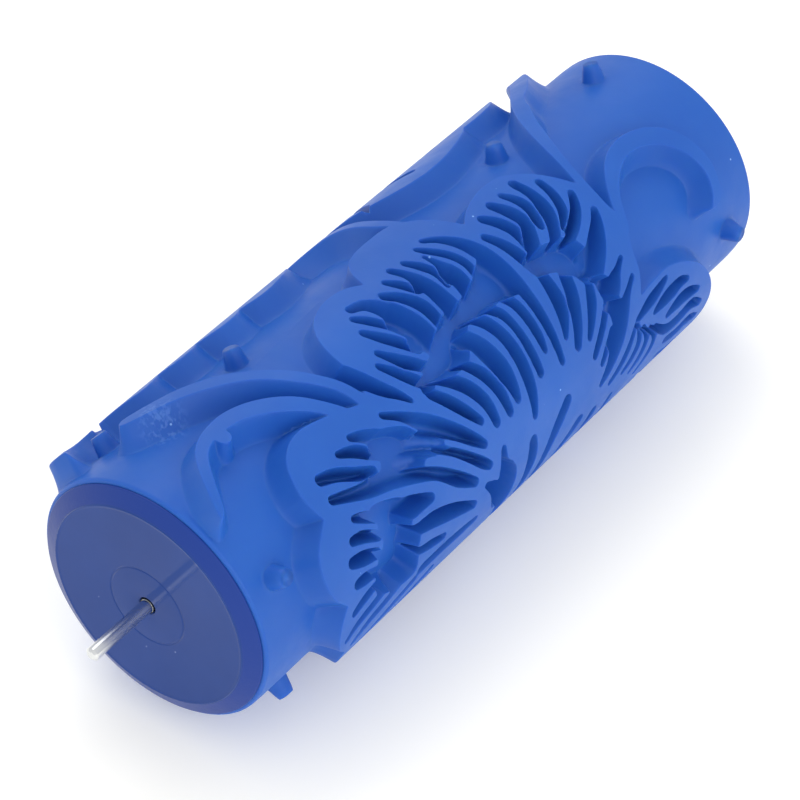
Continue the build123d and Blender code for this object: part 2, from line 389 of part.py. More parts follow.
with BuildPart() as end_cap_far:
    with BuildSketch():
        with BuildLine():
            Polyline(
                (BORE_R, HUB_END_Y),
                (CAP_HUB_R - 1.0, HUB_END_Y),
                (CAP_HUB_R, CAP_BACK_Y),
                (CAP_SPIGOT_R - 1.8, CAP_BACK_Y),
                (CAP_SPIGOT_R - 1.8, SPIGOT_Y),
                (CAP_SPIGOT_R - 0.6, SPIGOT_Y),
                (CAP_SPIGOT_R, SPIGOT_Y + 1.5),
                (CAP_SPIGOT_R, HALF),
                (CAP_R, HALF),
                (CAP_R, HALF + FLANGE_EDGE),
                (CAP_FACE_R, FACE_Y),
                (BORE_R, FACE_Y),
                close=True,
            )
        make_face()
        with Locations((CAP_RING_R, FACE_Y)):
            Rectangle(0.5, 2 * CAP_RING_DEPTH, mode=Mode.SUBTRACT)
    revolve(axis=Axis.Y)
    with BuildSketch(Plane.XZ.offset(-CAP_BACK_Y - 0.5)):
        with PolarLocations((CAP_HUB_R + CAP_SPIGOT_R - 2.3) / 2, 6):
            Rectangle(CAP_SPIGOT_R - CAP_HUB_R - 0.8, 1.6)
    extrude(amount=8.5)
end_cap_far.part.label = "end_cap_far"

with BuildPart() as end_cap_near:
    add(end_cap_far.part.rotate(Axis.Z, 180))
end_cap_near.part.label = "end_cap_near"

# ---- axle and its retaining clips ---------------------------------------------------------
CLIP_Y = HUB_END_Y - CLIP_GAP - CLIP_T / 2
TIP_CHAMFER = 0.5

with BuildPart() as axle_rod:
    with BuildSketch():
        with Locations((AXLE_R / 2, 0)):
            Rectangle(AXLE_R, 2 * TIP_Y)
        with Locations((AXLE_MID_R / 2, 0)):
            Rectangle(AXLE_MID_R, 2 * FACE_Y)
        with Locations((AXLE_MID_R, CLIP_Y), (AXLE_MID_R, -CLIP_Y)):
            Rectangle(2 * (AXLE_MID_R - CLIP_GROOVE_R), CLIP_T + 0.1, mode=Mode.SUBTRACT)
    revolve(axis=Axis.Y)
    tips = axle_rod.edges().group_by(Axis.Y)
    chamfer(tips[0] + tips[-1], TIP_CHAMFER)
axle_rod.part.label = "axle_rod"

with BuildPart() as axle_clips:
    with BuildSketch(Plane.XZ.offset(CLIP_Y - CLIP_T / 2), Plane.XZ.offset(-CLIP_Y - CLIP_T / 2)):
        Circle(CLIP_R)
        Circle(CLIP_GROOVE_R + 0.02, mode=Mode.SUBTRACT)
        with Locations((0, -CLIP_R / 2)):
            Rectangle(2.2, CLIP_R, mode=Mode.SUBTRACT)
        with PolarLocations(2.5, 2):
            Circle(0.8, mode=Mode.SUBTRACT)
    extrude(amount=CLIP_T)
axle_clips.part.label = "axle_clips"

os.makedirs("parts", exist_ok=True)
for piece in (rubber_sleeve, core_tube, end_cap_near, end_cap_far, axle_rod, axle_clips):
    export_step(piece.part, f"parts/{piece.part.label}.step")
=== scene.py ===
"""Looks of the textured pattern roller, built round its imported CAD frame.

The rubber sleeve is one moulding. Its pattern is laid out flat in millimetres as (y, s), where y
runs along the axle and s round the drum, measured from +X toward +Z. A height field is worked out
over that layout, lines of equal height are drawn through it, and the net of triangles between the
lines is rolled onto the drum. Everything in Blender is in metres.
"""

from math import cos, pi, radians, sin

import bpy
import numpy as np
from mathutils import Matrix, Vector
from mathutils.geometry import delaunay_2d_cdt


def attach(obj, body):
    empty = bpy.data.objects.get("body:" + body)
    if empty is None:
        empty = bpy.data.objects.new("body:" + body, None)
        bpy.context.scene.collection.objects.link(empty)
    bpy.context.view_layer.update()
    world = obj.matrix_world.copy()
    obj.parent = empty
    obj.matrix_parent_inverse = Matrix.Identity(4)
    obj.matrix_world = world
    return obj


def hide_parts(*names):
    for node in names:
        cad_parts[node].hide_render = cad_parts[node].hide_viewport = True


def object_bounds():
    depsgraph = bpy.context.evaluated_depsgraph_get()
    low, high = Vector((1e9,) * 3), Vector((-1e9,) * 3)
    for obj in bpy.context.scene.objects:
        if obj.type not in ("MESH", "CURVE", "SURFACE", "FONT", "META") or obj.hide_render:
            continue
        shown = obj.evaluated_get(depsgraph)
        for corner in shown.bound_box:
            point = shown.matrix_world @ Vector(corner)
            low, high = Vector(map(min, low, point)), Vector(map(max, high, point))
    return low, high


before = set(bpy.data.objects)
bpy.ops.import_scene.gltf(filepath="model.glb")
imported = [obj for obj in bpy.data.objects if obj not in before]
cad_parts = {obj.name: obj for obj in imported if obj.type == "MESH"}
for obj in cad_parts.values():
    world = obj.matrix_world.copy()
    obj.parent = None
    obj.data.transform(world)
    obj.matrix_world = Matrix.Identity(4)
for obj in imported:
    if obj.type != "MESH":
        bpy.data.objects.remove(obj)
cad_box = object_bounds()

MM = 0.001

# ---- sizes, in millimetres ----------------------------------------------------------------
DRUM_R = 28.4
HALF = 89.0  # half the length of the rubber
BORE_R = 24.0
RELIEF = 5.5
PEG_H = 4.3
PEG_BASE_R = 2.65
PEG_TIP_R = 1.8
PEG_DOME = 0.25  # how far the middle of a peg's tip rises above PEG_H
PEG_DOME_FALL = 0.12  # how fast the dome falls with the square of the distance from its middle
PEG_TIP_ROUND = 1.3
PEG_FOOT_ROUND = 0.9
RIM_R = 0.8  # rounding at the ends of the rubber
WALL_RUN = 3.0  # how far an outer wall reaches beyond its top edge
BRACT_RUN = 5.0  # the bract beside the second petal has a gentler wall
GROOVE_SLOPE = 7.0  # rise over run of the walls of the grooves
GROOVE_EXTRA = 0.1  # how much wider each groove is than its stroke
GROOVE_FOOT_ROUND = 1.2
HOLLOW_RUN = 1.1
HOLLOW_EXTRA = 0.55
KNOB_RUN = 1.2
FILLET = 1.75  # how strongly the foot of an outer wall is filleted
CREASE = 0.3  # rounding where a groove or a hollow cuts an outer wall
TIP_R = 0.22  # rounding of the tips of the fingers between grooves
EDGE_ROUND = 0.4  # rounding of the top edges
FLOOR_H = 0.2  # rubber left in the bottom of a groove
END_FLAT = 0.2  # how far from the rim the pattern has faded out
END_FADE = 1.5  # the length over which it fades
BORE_EDGE = 0.3

SCUFF_AT = (-0.0101, -0.072, 0.0293)  # where the outer leaf's wall is scratched, in metres

AXLE_R = 1.5
CAP_R = 27.5
CAP_FACE_R = 23.8
CAP_FACE_Y = 91.2
CAP_PLATE = 1.8
CAP_RING_R = 9.3
CAP_RING_DEPTH = 0.12
CAP_LIP = 0.07  # height of the fine line at the edge of the face
CAP_BORE_R = 1.8
SPIGOT_R = 22.0
SPIGOT_LEN = 14.0
SPIGOT_WALL = 1.8
SPIGOT_LEAD = 1.5  # length of the tapered lead at the end of the spigot
HUB_R = 5.0
HUB_LEN = 16.0
SHADE_EDGE = 0.04  # how gradually the steel's bright part gives way to its painted shade

# ---- the pattern, laid out flat -----------------------------------------------------------
# A raised outline is a ring of runs; every run ends at the notch where the next one starts.
FLOWER = [
    [(-42.6, 28.6), (-40.2, 32.2), (-39.6, 38.0), (-38.5, 41.5), (-36.1, 44.5), (-33.2, 46.5),
     (-29.6, 47.7), (-26.1, 48.0), (-22.0, 47.3), (-18.6, 45.2)],
    [(-18.6, 45.2), (-17.0, 48.6), (-14.2, 51.3), (-10.5, 52.6), (-5.0, 52.9), (0.5, 52.4),
     (4.4, 49.8), (7.6, 45.5), (10.1, 41.1)],
    [(10.1, 41.1), (14.0, 43.1), (18.5, 44.3), (23.5, 44.7), (28.5, 43.6), (33.2, 39.8),
     (36.4, 36.0), (38.9, 32.4)],
    [(38.9, 32.4), (40.4, 27.0), (40.9, 21.5), (39.1, 17.1), (38.6, 13.3), (36.6, 8.9)],
    [(36.6, 8.9), (41.5, 9.5), (47.4, 9.6), (53.8, 7.7), (59.7, 4.0), (63.6, -1.5),
     (65.2, -8.0), (64.2, -14.5), (60.0, -20.0), (54.0, -23.0)],
    [(54.0, -23.0), (53.6, -29.0), (49.0, -34.5), (42.0, -37.2), (35.0, -37.0), (29.5, -34.5)],
    [(29.5, -34.5), (26.0, -40.5), (19.0, -44.6), (11.0, -46.0), (3.5, -44.4), (-1.0, -40.0)],
    [(-1.0, -40.0), (-6.0, -44.0), (-13.0, -46.0), (-20.5, -44.6), (-26.5, -40.6), (-29.0, -35.5)],
    [(-29.0, -35.5), (-35.0, -38.4), (-42.5, -37.8), (-48.5, -33.6), (-51.5, -27.0), (-51.0, -22.5)],
    [(-51.0, -22.5), (-57.0, -23.6), (-63.0, -21.4), (-67.2, -16.6), (-68.2, -11.0)],
    [(-68.2, -11.0), (-71.2, -8.0), (-72.4, -4.0), (-71.8, -0.5), (-69.9, 2.3)],
    [(-69.9, 2.3), (-73.4, 6.0), (-74.5, 10.6), (-73.0, 15.0), (-68.0, 18.8)],
    [(-68.0, 18.8), (-69.5, 23.5), (-67.8, 28.7), (-64.0, 31.6), (-59.0, 32.5), (-53.0, 31.5),
     (-48.0, 30.2), (-42.6, 28.6)],
]
OUTER_LEAF = [
    [(-78.4, 58.4), (-77.2, 59.3), (-75.0, 59.3), (-69.5, 57.4), (-63.6, 54.8),
     (-56.5, 49.8), (-49.5, 42.7), (-45.9, 38.0), (-43.0, 33.5), (-41.0, 27.5)],
    [(-41.0, 27.5), (-44.0, 28.4)],
    [(-44.0, 28.4), (-45.6, 33.5), (-50.0, 39.2), (-55.9, 45.6), (-63.6, 50.9), (-69.5, 54.0),
     (-75.0, 56.2), (-77.4, 57.4), (-78.4, 58.4)],
]
INNER_LEAF = [
    [(-86.8, 29.8), (-85.3, 33.0), (-82.0, 38.0), (-78.0, 41.8), (-73.0, 43.6), (-66.5, 43.8),
     (-60.0, 41.8), (-54.0, 38.0), (-49.4, 33.0), (-46.0, 28.5)],
    [(-46.0, 28.5), (-50.5, 30.2)],
    [(-50.5, 30.2), (-54.0, 34.0), (-60.0, 38.0), (-66.5, 40.6), (-73.0, 41.0), (-77.5, 39.4),
     (-81.5, 35.2), (-85.0, 30.6), (-86.8, 29.8)],
]
BLADE = [
    [(38.0, 31.0), (39.7, 36.8), (42.6, 44.2), (47.6, 51.3), (54.8, 57.8), (61.5, 62.6), (67.5, 67.2),
     (71.6, 72.0), (76.0, 77.0)],
    [(76.0, 77.0), (76.4, 71.5), (71.5, 65.0), (63.4, 59.2), (57.6, 56.4), (53.8, 52.6)],
    [(53.8, 52.6), (49.8, 49.0), (45.9, 44.0), (42.6, 38.6), (40.6, 32.0), (40.4, 24.0)],
    [(40.4, 24.0), (38.0, 31.0)],
]
CRESCENT = [
    [(39.8, 20.0), (41.5, 25.9), (45.6, 30.6), (51.0, 33.6), (58.0, 34.3), (65.0, 32.3),
     (70.0, 28.1), (72.8, 21.8), (72.8, 16.5), (70.9, 12.6), (67.4, 12.2)],
    [(67.4, 12.2), (69.4, 15.0), (70.0, 19.5), (67.8, 24.7), (62.6, 29.2), (56.0, 30.9),
     (49.8, 29.5), (44.6, 25.8), (41.4, 20.6), (39.8, 20.0)],
]
# The next two, the frond and the far leaf are mostly or wholly on the far side of the drum.
BACK_FLOWER = [
    [(46.0, 64.4), (42.0, 61.8), (35.0, 59.4), (28.0, 58.2), (21.0, 58.6), (14.0, 61.2), (8.0, 66.4),
     (3.0, 73.0), (-2.0, 79.0)],
    [(-2.0, 79.0), (-9.0, 79.5), (-15.6, 82.5), (-19.0, 88.0), (-18.5, 93.0), (-16.0, 97.0)],
    [(-16.0, 97.0), (-19.0, 103.0), (-16.5, 109.5), (-10.0, 113.5), (-3.0, 113.0)],
    [(-3.0, 113.0), (2.0, 119.0), (10.5, 121.5), (18.5, 119.5), (23.5, 113.8)],
    [(23.5, 113.8), (31.0, 117.0), (39.5, 115.5), (45.5, 109.6), (46.5, 102.5)],
    [(46.5, 102.5), (54.0, 102.0), (60.0, 97.0), (61.5, 90.5), (59.0, 84.5)],
    [(59.0, 84.5), (63.6, 78.5), (63.6, 71.5), (58.6, 66.0), (52.0, 64.2), (46.0, 64.4)],
]
BACK_LEAF = [
    [(-11.0, 70.6), (-16.0, 66.6), (-22.5, 64.2), (-27.5, 64.4), (-30.8, 66.8)],
    [(-30.8, 66.8), (-34.6, 64.8), (-39.6, 65.0), (-43.8, 68.0)],
    [(-43.8, 68.0), (-47.6, 66.0), (-51.6, 66.2), (-55.6, 68.6)],
    [(-55.6, 68.6), (-60.0, 66.2), (-65.0, 66.8), (-70.0, 72.0)],
    [(-70.0, 72.0), (-76.0, 74.4), (-81.5, 72.0), (-85.4, 67.0)],
    [(-85.4, 67.0), (-85.8, 73.0), (-80.0, 79.5), (-68.0, 82.5), (-54.0, 83.5), (-40.0, 83.0),
     (-28.0, 80.0), (-17.0, 75.8), (-11.0, 70.6)],
]
BRACT = [
    [(2.2, 50.4), (0.4, 54.5), (0.2, 58.5), (0.2, 62.5), (-0.8, 66.8), (-3.8, 70.2), (-9.4, 73.2)],
    [(-9.4, 73.2), (-4.0, 74.2), (-0.2, 70.8), (1.9, 66.5), (2.7, 62.0), (2.8, 56.0), (3.8, 50.4)],
    [(3.8, 50.4), (2.2, 50.4)],
]
BACK_FROND = [
    [(-83.0, 108.0), (-76.0, 99.0), (-66.0, 92.5), (-54.0, 90.0), (-40.0, 91.5), (-27.0, 101.0)],
    [(-27.0, 101.0), (-35.0, 114.0), (-48.0, 120.6), (-62.0, 121.5), (-74.0, 117.0), (-83.0, 108.0)],
]
FAR_LEAF = [
    [(65.5, 95.0), (72.0, 92.0), (78.0, 94.5), (81.5, 102.0), (80.5, 111.0), (74.0, 121.5)],
    [(74.0, 121.5), (67.5, 116.0), (64.5, 109.0), (64.0, 101.5), (65.5, 95.0)],
]
RAISED = [
    FLOWER, OUTER_LEAF, INNER_LEAF, BLADE, CRESCENT, BACK_FLOWER, BACK_LEAF, BRACT, BACK_FROND, FAR_LEAF,
]

# A groove is a stroke: (y, s, half width) from its closed end to its open end.
PETAL_GROOVES = [
    [(-33.8, 23.9, 0.5), (-35.5, 26.2, 1.0), (-37.6, 28.6, 1.5), (-39.4, 31.4, 1.8), (-41.0, 34.6, 1.8)],
    [(-34.2, 31.8, 0.7), (-32.3, 29.2, 1.1), (-30.2, 26.5, 1.3), (-28.5, 24.4, 1.1)],
    [(-31.9, 33.6, 0.7), (-29.6, 30.6, 1.2), (-27.0, 27.9, 1.3), (-25.0, 26.0, 1.0)],
    [(-30.1, 38.0, 0.8), (-28.3, 35.4, 1.2), (-26.1, 32.6, 1.3), (-24.2, 29.8, 1.0)],
    [(-28.4, 41.1, 0.8), (-26.6, 39.0, 1.1), (-24.8, 36.2, 0.9), (-23.4, 33.5, 0.8)],
    [(-26.6, 43.0, 0.9), (-23.6, 41.8, 1.4), (-21.4, 38.0, 2.4), (-20.6, 33.0, 3.2), (-20.4, 28.6, 2.8)],
    [(-18.9, 41.0, 0.8), (-16.6, 38.4, 1.3), (-14.9, 34.6, 1.6), (-15.2, 30.5, 1.3)],
    [(-15.4, 42.6, 0.7), (-13.7, 40.1, 1.1), (-12.5, 37.4, 0.8)],
    [(-11.8, 43.7, 0.8), (-10.5, 40.8, 1.1), (-9.9, 36.8, 1.9), (-10.1, 31.5, 2.3)],
    [(-8.1, 43.1, 0.7), (-6.6, 40.6, 1.1), (-5.7, 37.8, 1.0), (-6.4, 34.6, 0.6)],
    [(-3.8, 41.6, 0.4), (-3.2, 38.6, 0.9), (-3.0, 35.2, 2.0), (-3.9, 31.6, 2.0)],
    [(-3.0, 43.6, 0.6), (-1.3, 41.2, 0.9), (0.6, 38.2, 1.0), (1.3, 35.0, 1.0), (0.2, 31.6, 0.8)],
    [(0.0, 44.2, 0.6), (2.4, 42.4, 0.9), (4.8, 39.0, 1.5), (6.2, 34.6, 2.1), (6.9, 29.0, 1.9),
     (7.2, 23.0, 1.4), (7.3, 15.5, 1.1), (7.3, 10.2, 0.8)],
    [(10.2, 36.6, 0.9), (11.5, 34.2, 1.2), (12.5, 31.0, 1.5), (12.9, 27.6, 1.4)],
    [(14.0, 39.6, 1.0), (15.8, 37.0, 1.4), (16.7, 33.8, 1.4), (15.9, 30.0, 1.0)],
    [(18.7, 40.4, 1.1), (20.1, 37.2, 1.6), (20.5, 34.2, 1.5), (18.6, 30.8, 1.2), (16.2, 28.0, 0.9)],
    [(22.8, 40.7, 0.7), (24.2, 37.8, 1.2), (24.2, 35.0, 1.2), (22.6, 31.6, 0.8)],
    [(27.6, 40.8, 1.1), (28.0, 37.2, 1.3), (27.2, 33.4, 1.6), (24.8, 29.8, 1.3), (21.6, 27.2, 1.0)],
    [(32.1, 37.8, 0.9), (31.7, 34.4, 1.1), (30.0, 31.0, 1.1), (27.0, 28.2, 0.8)],
    [(35.4, 32.4, 0.8), (33.2, 29.9, 1.1), (29.2, 27.4, 1.0), (25.0, 26.2, 0.9)],
    [(36.7, 27.4, 0.8), (34.8, 25.2, 1.4), (31.4, 22.6, 2.2), (27.6, 20.2, 2.6)],
    [(35.2, 17.7, 0.5), (32.6, 16.3, 0.8), (29.8, 14.6, 1.9), (27.6, 13.0, 1.6)],
    [(36.0, 13.5, 0.5), (33.0, 11.5, 0.8), (30.0, 9.0, 1.8), (26.6, 5.0, 2.2), (22.6, 0.6, 1.5),
     (19.8, -1.6, 0.8)],
    [(-63.6, 24.1, 1.0), (-59.6, 23.0, 1.2), (-55.6, 20.9, 1.2), (-51.6, 19.2, 1.0)],
    [(-56.4, 25.3, 0.6), (-53.0, 24.0, 1.1), (-50.4, 22.3, 1.2), (-48.0, 20.6, 1.0)],
    [(-51.6, 26.1, 0.6), (-48.4, 24.6, 1.2), (-45.4, 22.0, 2.1), (-43.4, 19.8, 2.0)],
    [(-64.0, 20.3, 0.8), (-60.0, 19.0, 1.1), (-55.0, 17.4, 1.4), (-49.0, 16.0, 1.6), (-43.0, 13.6, 1.3),
     (-37.0, 10.8, 1.2), (-31.5, 6.6, 1.5), (-26.4, 3.0, 0.9)],
    [(-61.7, 15.3, 0.6), (-58.8, 14.1, 1.0), (-55.6, 12.4, 1.0)],
    [(-64.3, 12.3, 0.8), (-61.0, 11.5, 1.1), (-57.4, 9.6, 0.9)],
    [(-66.3, 9.1, 1.0), (-63.0, 8.2, 1.4), (-59.0, 7.0, 1.0)],
    [(-66.3, 4.7, 0.9), (-63.4, 4.4, 1.2), (-59.6, 3.8, 0.8)],
    [(-67.9, -0.6, 0.8), (-64.6, 0.5, 1.0), (-60.0, 1.4, 0.8)],
    [(-69.4, -6.4, 0.8), (-66.8, -4.4, 1.0), (-61.4, -2.8, 1.0), (-57.4, -1.6, 1.0)],
    [(-66.2, -9.8, 0.8), (-62.6, -7.2, 1.1), (-57.0, -5.6, 1.1), (-52.4, -4.0, 1.0)],
    [(-62.0, -15.0, 0.8), (-57.4, -11.6, 1.2), (-51.8, -9.4, 1.2), (-46.6, -7.6, 1.0)],
    [(-54.6, -18.6, 0.8), (-50.0, -14.8, 1.3), (-44.6, -12.2, 1.3), (-39.6, -10.0, 1.0)],
]
HEART_GROOVES = [
    [(-42.0, 25.3, 0.6), (-38.3, 23.0, 0.9), (-33.4, 18.7, 1.9), (-28.0, 14.3, 1.6), (-24.2, 10.8, 1.3),
     (-21.6, 8.4, 0.8)],
    [(-34.4, 14.3, 0.9), (-30.8, 11.8, 0.8), (-26.8, 8.5, 1.0), (-23.2, 5.3, 1.1), (-21.2, 3.7, 0.8)],
    [(-20.6, 12.6, 0.8), (-23.2, 15.9, 1.2), (-26.1, 19.5, 1.3), (-29.0, 22.6, 1.0)],
    [(-16.5, 10.3, 1.1), (-17.3, 14.6, 1.4), (-19.6, 18.7, 1.5), (-22.6, 21.7, 1.3), (-25.6, 23.8, 1.0)],
    [(-11.9, 9.9, 1.0), (-12.8, 15.2, 1.4), (-14.9, 19.4, 1.3), (-18.0, 22.8, 0.9)],
    [(-8.6, 10.8, 0.9), (-8.7, 13.4, 1.5), (-9.3, 17.6, 2.1), (-11.0, 22.0, 2.3), (-12.6, 25.6, 1.5)],
    [(-4.7, 5.2, 0.8), (-4.0, 9.5, 1.4), (-3.8, 15.4, 1.6), (-4.4, 21.2, 1.5), (-6.3, 25.4, 1.4),
     (-9.1, 27.8, 1.0)],
    [(0.1, 11.6, 1.0), (-0.1, 16.5, 1.1), (-0.5, 21.2, 1.0), (-1.5, 24.7, 1.1), (-3.8, 27.0, 0.9)],
    [(3.7, 14.4, 0.7), (3.8, 17.2, 1.1), (3.6, 21.2, 1.2), (2.8, 24.8, 1.2), (0.6, 27.3, 0.8)],
    [(10.7, 13.4, 0.6), (11.7, 15.2, 1.1), (13.1, 18.4, 1.8), (13.6, 22.0, 1.7), (13.6, 25.6, 1.2)],
    [(13.3, 10.4, 1.1), (15.4, 14.0, 1.4), (17.5, 18.4, 1.7), (18.8, 22.2, 1.6)],
    [(17.4, 9.9, 0.7), (19.6, 12.4, 1.1), (22.0, 15.6, 1.4), (23.6, 18.8, 0.9)],
    [(17.8, 5.8, 0.8), (19.7, 7.5, 0.9), (22.5, 9.9, 0.9), (25.2, 12.6, 0.8)],
    [(20.0, 3.0, 0.7), (22.4, 5.3, 0.9), (24.8, 7.6, 0.8)],
    [(-51.0, 10.6, 2.0), (-47.2, 9.4, 2.2), (-43.6, 8.6, 1.6), (-40.4, 7.8, 0.9)],
    [(-50.4, 5.2, 1.3), (-46.2, 4.4, 1.2), (-40.6, 3.4, 1.7), (-34.0, 1.2, 1.6), (-27.0, -1.8, 0.8)],
    [(-49.4, 0.7, 0.8), (-45.8, -0.5, 0.8), (-42.0, -1.4, 1.0), (-37.6, -2.5, 0.7)],
    [(-44.8, -6.0, 1.2), (-38.4, -5.8, 1.2), (-31.0, -6.2, 1.1), (-25.4, -6.6, 0.7)],
    [(-16.3, 4.4, 0.8), (-16.4, 1.0, 1.4), (-15.2, -3.4, 3.4), (-14.2, -8.8, 2.8), (-14.6, -15.4, 1.6)],
    [(-22.8, 0.1, 0.6), (-19.4, -2.8, 1.6), (-17.4, -7.0, 2.0)],
    [(-6.0, 0.2, 1.3), (-5.8, -4.4, 1.8), (-6.4, -10.0, 1.5), (-8.2, -17.0, 1.5), (-10.6, -24.4, 1.1)],
    [(6.6, 1.8, 1.5), (3.2, -1.8, 1.8), (0.8, -6.2, 1.5), (-0.8, -13.0, 1.6), (-2.2, -22.0, 1.3)],
    [(12.6, -6.8, 1.6), (9.0, -11.0, 1.7), (6.6, -17.0, 1.5), (5.4, -24.6, 1.2)],
    [(19.0, -8.6, 1.4), (17.4, -13.4, 1.6), (15.2, -19.4, 1.5), (13.6, -26.0, 1.2)],
    [(26.0, -9.0, 0.9), (25.2, -14.4, 1.4), (23.4, -20.6, 1.4), (21.6, -27.0, 1.1)],
    [(33.2, 4.4, 0.5), (30.0, 0.6, 0.9), (26.4, -2.2, 0.9), (23.6, -3.7, 0.7)],
    [(34.2, 3.6, 0.5), (34.2, 0.2, 0.9), (31.8, -2.6, 0.9), (28.6, -4.2, 0.6)],
    [(36.0, 2.4, 0.6), (37.4, -0.8, 0.9), (35.6, -4.0, 0.9), (32.2, -6.4, 0.6)],
    [(38.6, 0.8, 0.7), (40.8, -2.4, 0.9), (39.2, -6.0, 0.9), (35.4, -8.8, 0.6)],
    [(33.8, 5.0, 0.5), (38.5, 6.2, 1.2), (42.5, 7.0, 1.1), (46.3, 8.0, 0.5)],
    [(40.4, 3.4, 0.5), (44.0, 4.0, 1.3), (48.0, 4.4, 1.5), (51.2, 4.6, 1.1), (53.8, 4.0, 0.6)],
    [(45.4, 0.0, 0.6), (49.5, 0.6, 1.4), (53.5, 0.6, 1.4), (58.0, -0.6, 0.7)],
    [(40.6, 0.0, 0.6), (45.6, -3.6, 1.2), (51.0, -4.0, 1.5), (56.0, -3.4, 1.4), (60.2, -5.4, 0.8)],
    [(47.0, -7.4, 0.9), (51.6, -8.4, 1.4), (56.6, -8.0, 1.4), (60.8, -9.8, 0.8)],
    [(46.0, -11.6, 0.9), (50.6, -13.4, 1.3), (55.2, -14.0, 1.2), (58.4, -15.6, 0.8)],
    [(40.6, -13.0, 0.9), (43.4, -17.4, 1.3), (45.8, -22.6, 1.3), (47.4, -28.0, 0.9)],
    [(34.8, -14.6, 0.9), (36.4, -19.6, 1.3), (37.6, -25.4, 1.3), (38.4, -31.6, 0.9)],
]
LOWER_GROOVES = [
    [(23.4, -38.0, 0.9), (21.8, -33.6, 1.2), (20.6, -29.4, 1.1)],
    [(16.4, -41.4, 0.9), (15.4, -36.6, 1.3), (14.4, -30.6, 1.2)],
    [(9.6, -42.0, 0.9), (9.0, -37.0, 1.3), (8.0, -30.4, 1.2)],
    [(3.6, -40.0, 0.9), (3.2, -35.4, 1.2), (2.0, -29.6, 1.1)],
    [(-6.6, -39.6, 0.9), (-6.6, -35.2, 1.2), (-5.6, -29.4, 1.2)],
    [(-13.0, -41.6, 0.9), (-12.2, -36.6, 1.3), (-11.2, -30.4, 1.2)],
    [(-19.6, -40.2, 0.9), (-17.6, -35.6, 1.2), (-16.0, -29.6, 1.2)],
    [(-24.6, -35.6, 0.9), (-21.8, -31.0, 1.2), (-18.6, -25.4, 1.0)],
    [(-33.0, -33.6, 0.9), (-29.0, -28.2, 1.3), (-24.6, -22.2, 1.1)],
    [(-40.0, -33.2, 0.9), (-35.4, -27.6, 1.3), (-29.8, -21.2, 1.1)],
    [(-46.2, -28.8, 0.9), (-41.2, -23.6, 1.3), (-34.6, -18.0, 1.1)],
]
BACK_GROOVES = [
    [(21.0 + 10.0 * cos(a), 89.0 + 9.0 * sin(a), 1.0),
     (21.0 + 19.0 * cos(a + 0.06), 88.5 + 16.5 * sin(a + 0.06), 1.8),
     (21.0 + 29.0 * cos(a + 0.16), 88.0 + 24.5 * sin(a + 0.16), 1.0)]
    for a in [radians(30.0 * k) for k in range(12)]
]
BACK_VEINS = [
    [(-72.0 + 10.0 * k, 72.8, 0.6), (-69.5 + 10.0 * k, 75.6, 1.1), (-65.5 + 10.0 * k, 78.4, 0.6)]
    for k in range(5)
]
FROND_VEINS = [
    [(-71.0 + 10.0 * k, 102.5, 0.6), (-68.0 + 10.0 * k, 106.5, 1.1), (-63.5 + 10.0 * k, 110.5, 0.6)]
    for k in range(3)
]
GROOVES = PETAL_GROOVES + HEART_GROOVES + LOWER_GROOVES + BACK_GROOVES + BACK_VEINS + FROND_VEINS

# Hollows open the ends of the grooves into each other.
HOLLOWS = [
    [(-30.0, 23.6), (-27.0, 25.4), (-24.0, 26.6), (-19.6, 27.2), (-16.5, 29.6), (-13.0, 30.6),
     (-9.5, 30.4), (-5.0, 31.0), (-1.0, 31.8), (2.5, 33.2), (5.6, 34.6), (7.4, 31.4), (7.4, 27.0),
     (5.4, 25.8), (1.0, 27.0), (-3.5, 26.9), (-8.8, 27.8), (-12.8, 26.2), (-15.2, 23.2),
     (-18.0, 22.6), (-22.0, 22.8), (-25.5, 23.9), (-28.5, 22.8)],
    [(12.0, 28.4), (15.0, 28.9), (18.0, 28.6), (21.4, 27.8), (25.0, 26.8), (27.4, 23.6),
     (26.8, 18.8), (23.2, 18.6), (21.6, 20.8), (19.8, 23.2), (17.4, 24.2), (14.8, 25.2), (12.6, 25.8)],
    [(25.2, 16.8), (27.6, 17.4), (29.2, 15.4), (29.4, 12.4), (30.2, 9.4), (28.4, 7.2),
     (26.4, 5.8), (26.0, 10.0), (25.6, 13.6)],
    [(-56.6, 14.3), (-54.6, 14.0), (-51.6, 13.1), (-48.6, 11.8), (-47.2, 9.6), (-48.0, 7.4),
     (-48.2, 5.6), (-47.0, 4.6), (-46.2, 3.4), (-46.4, 2.0), (-47.4, 0.8), (-47.2, -0.8),
     (-47.2, -3.0), (-47.8, -4.6), (-52.0, -4.4), (-56.0, -3.0), (-59.6, -1.4), (-60.4, 0.6),
     (-60.2, 2.4), (-59.0, 5.0), (-57.0, 6.6), (-55.9, 8.2), (-56.4, 10.0), (-56.0, 12.0)],
    [(-53.0, 17.6), (-50.6, 17.7), (-49.2, 18.4), (-48.2, 19.6), (-47.0, 20.8), (-46.0, 22.2),
     (-44.6, 23.2), (-42.3, 22.5), (-39.8, 21.3), (-38.2, 19.9), (-37.4, 18.7), (-35.6, 18.2),
     (-33.6, 17.2), (-32.4, 15.4), (-32.8, 14.2), (-34.4, 14.0), (-35.8, 14.2), (-37.2, 14.8),
     (-38.8, 15.0), (-39.8, 14.0), (-42.0, 13.8), (-46.0, 15.2), (-50.0, 16.6)],
]

# (y, s) of the spacing pegs
PEGS = [
    (-81.5, 15.1), (-46.8, 56.5), (39.3, 52.6), (76.5, 52.3), (78.0, 0.8), (-77.3, -21.8),
    (-77.0, 67.0), (78.0, -38.0), (-66.0, -50.0), (60.0, -56.0), (-80.0, 88.5), (76.0, 128.0),
]

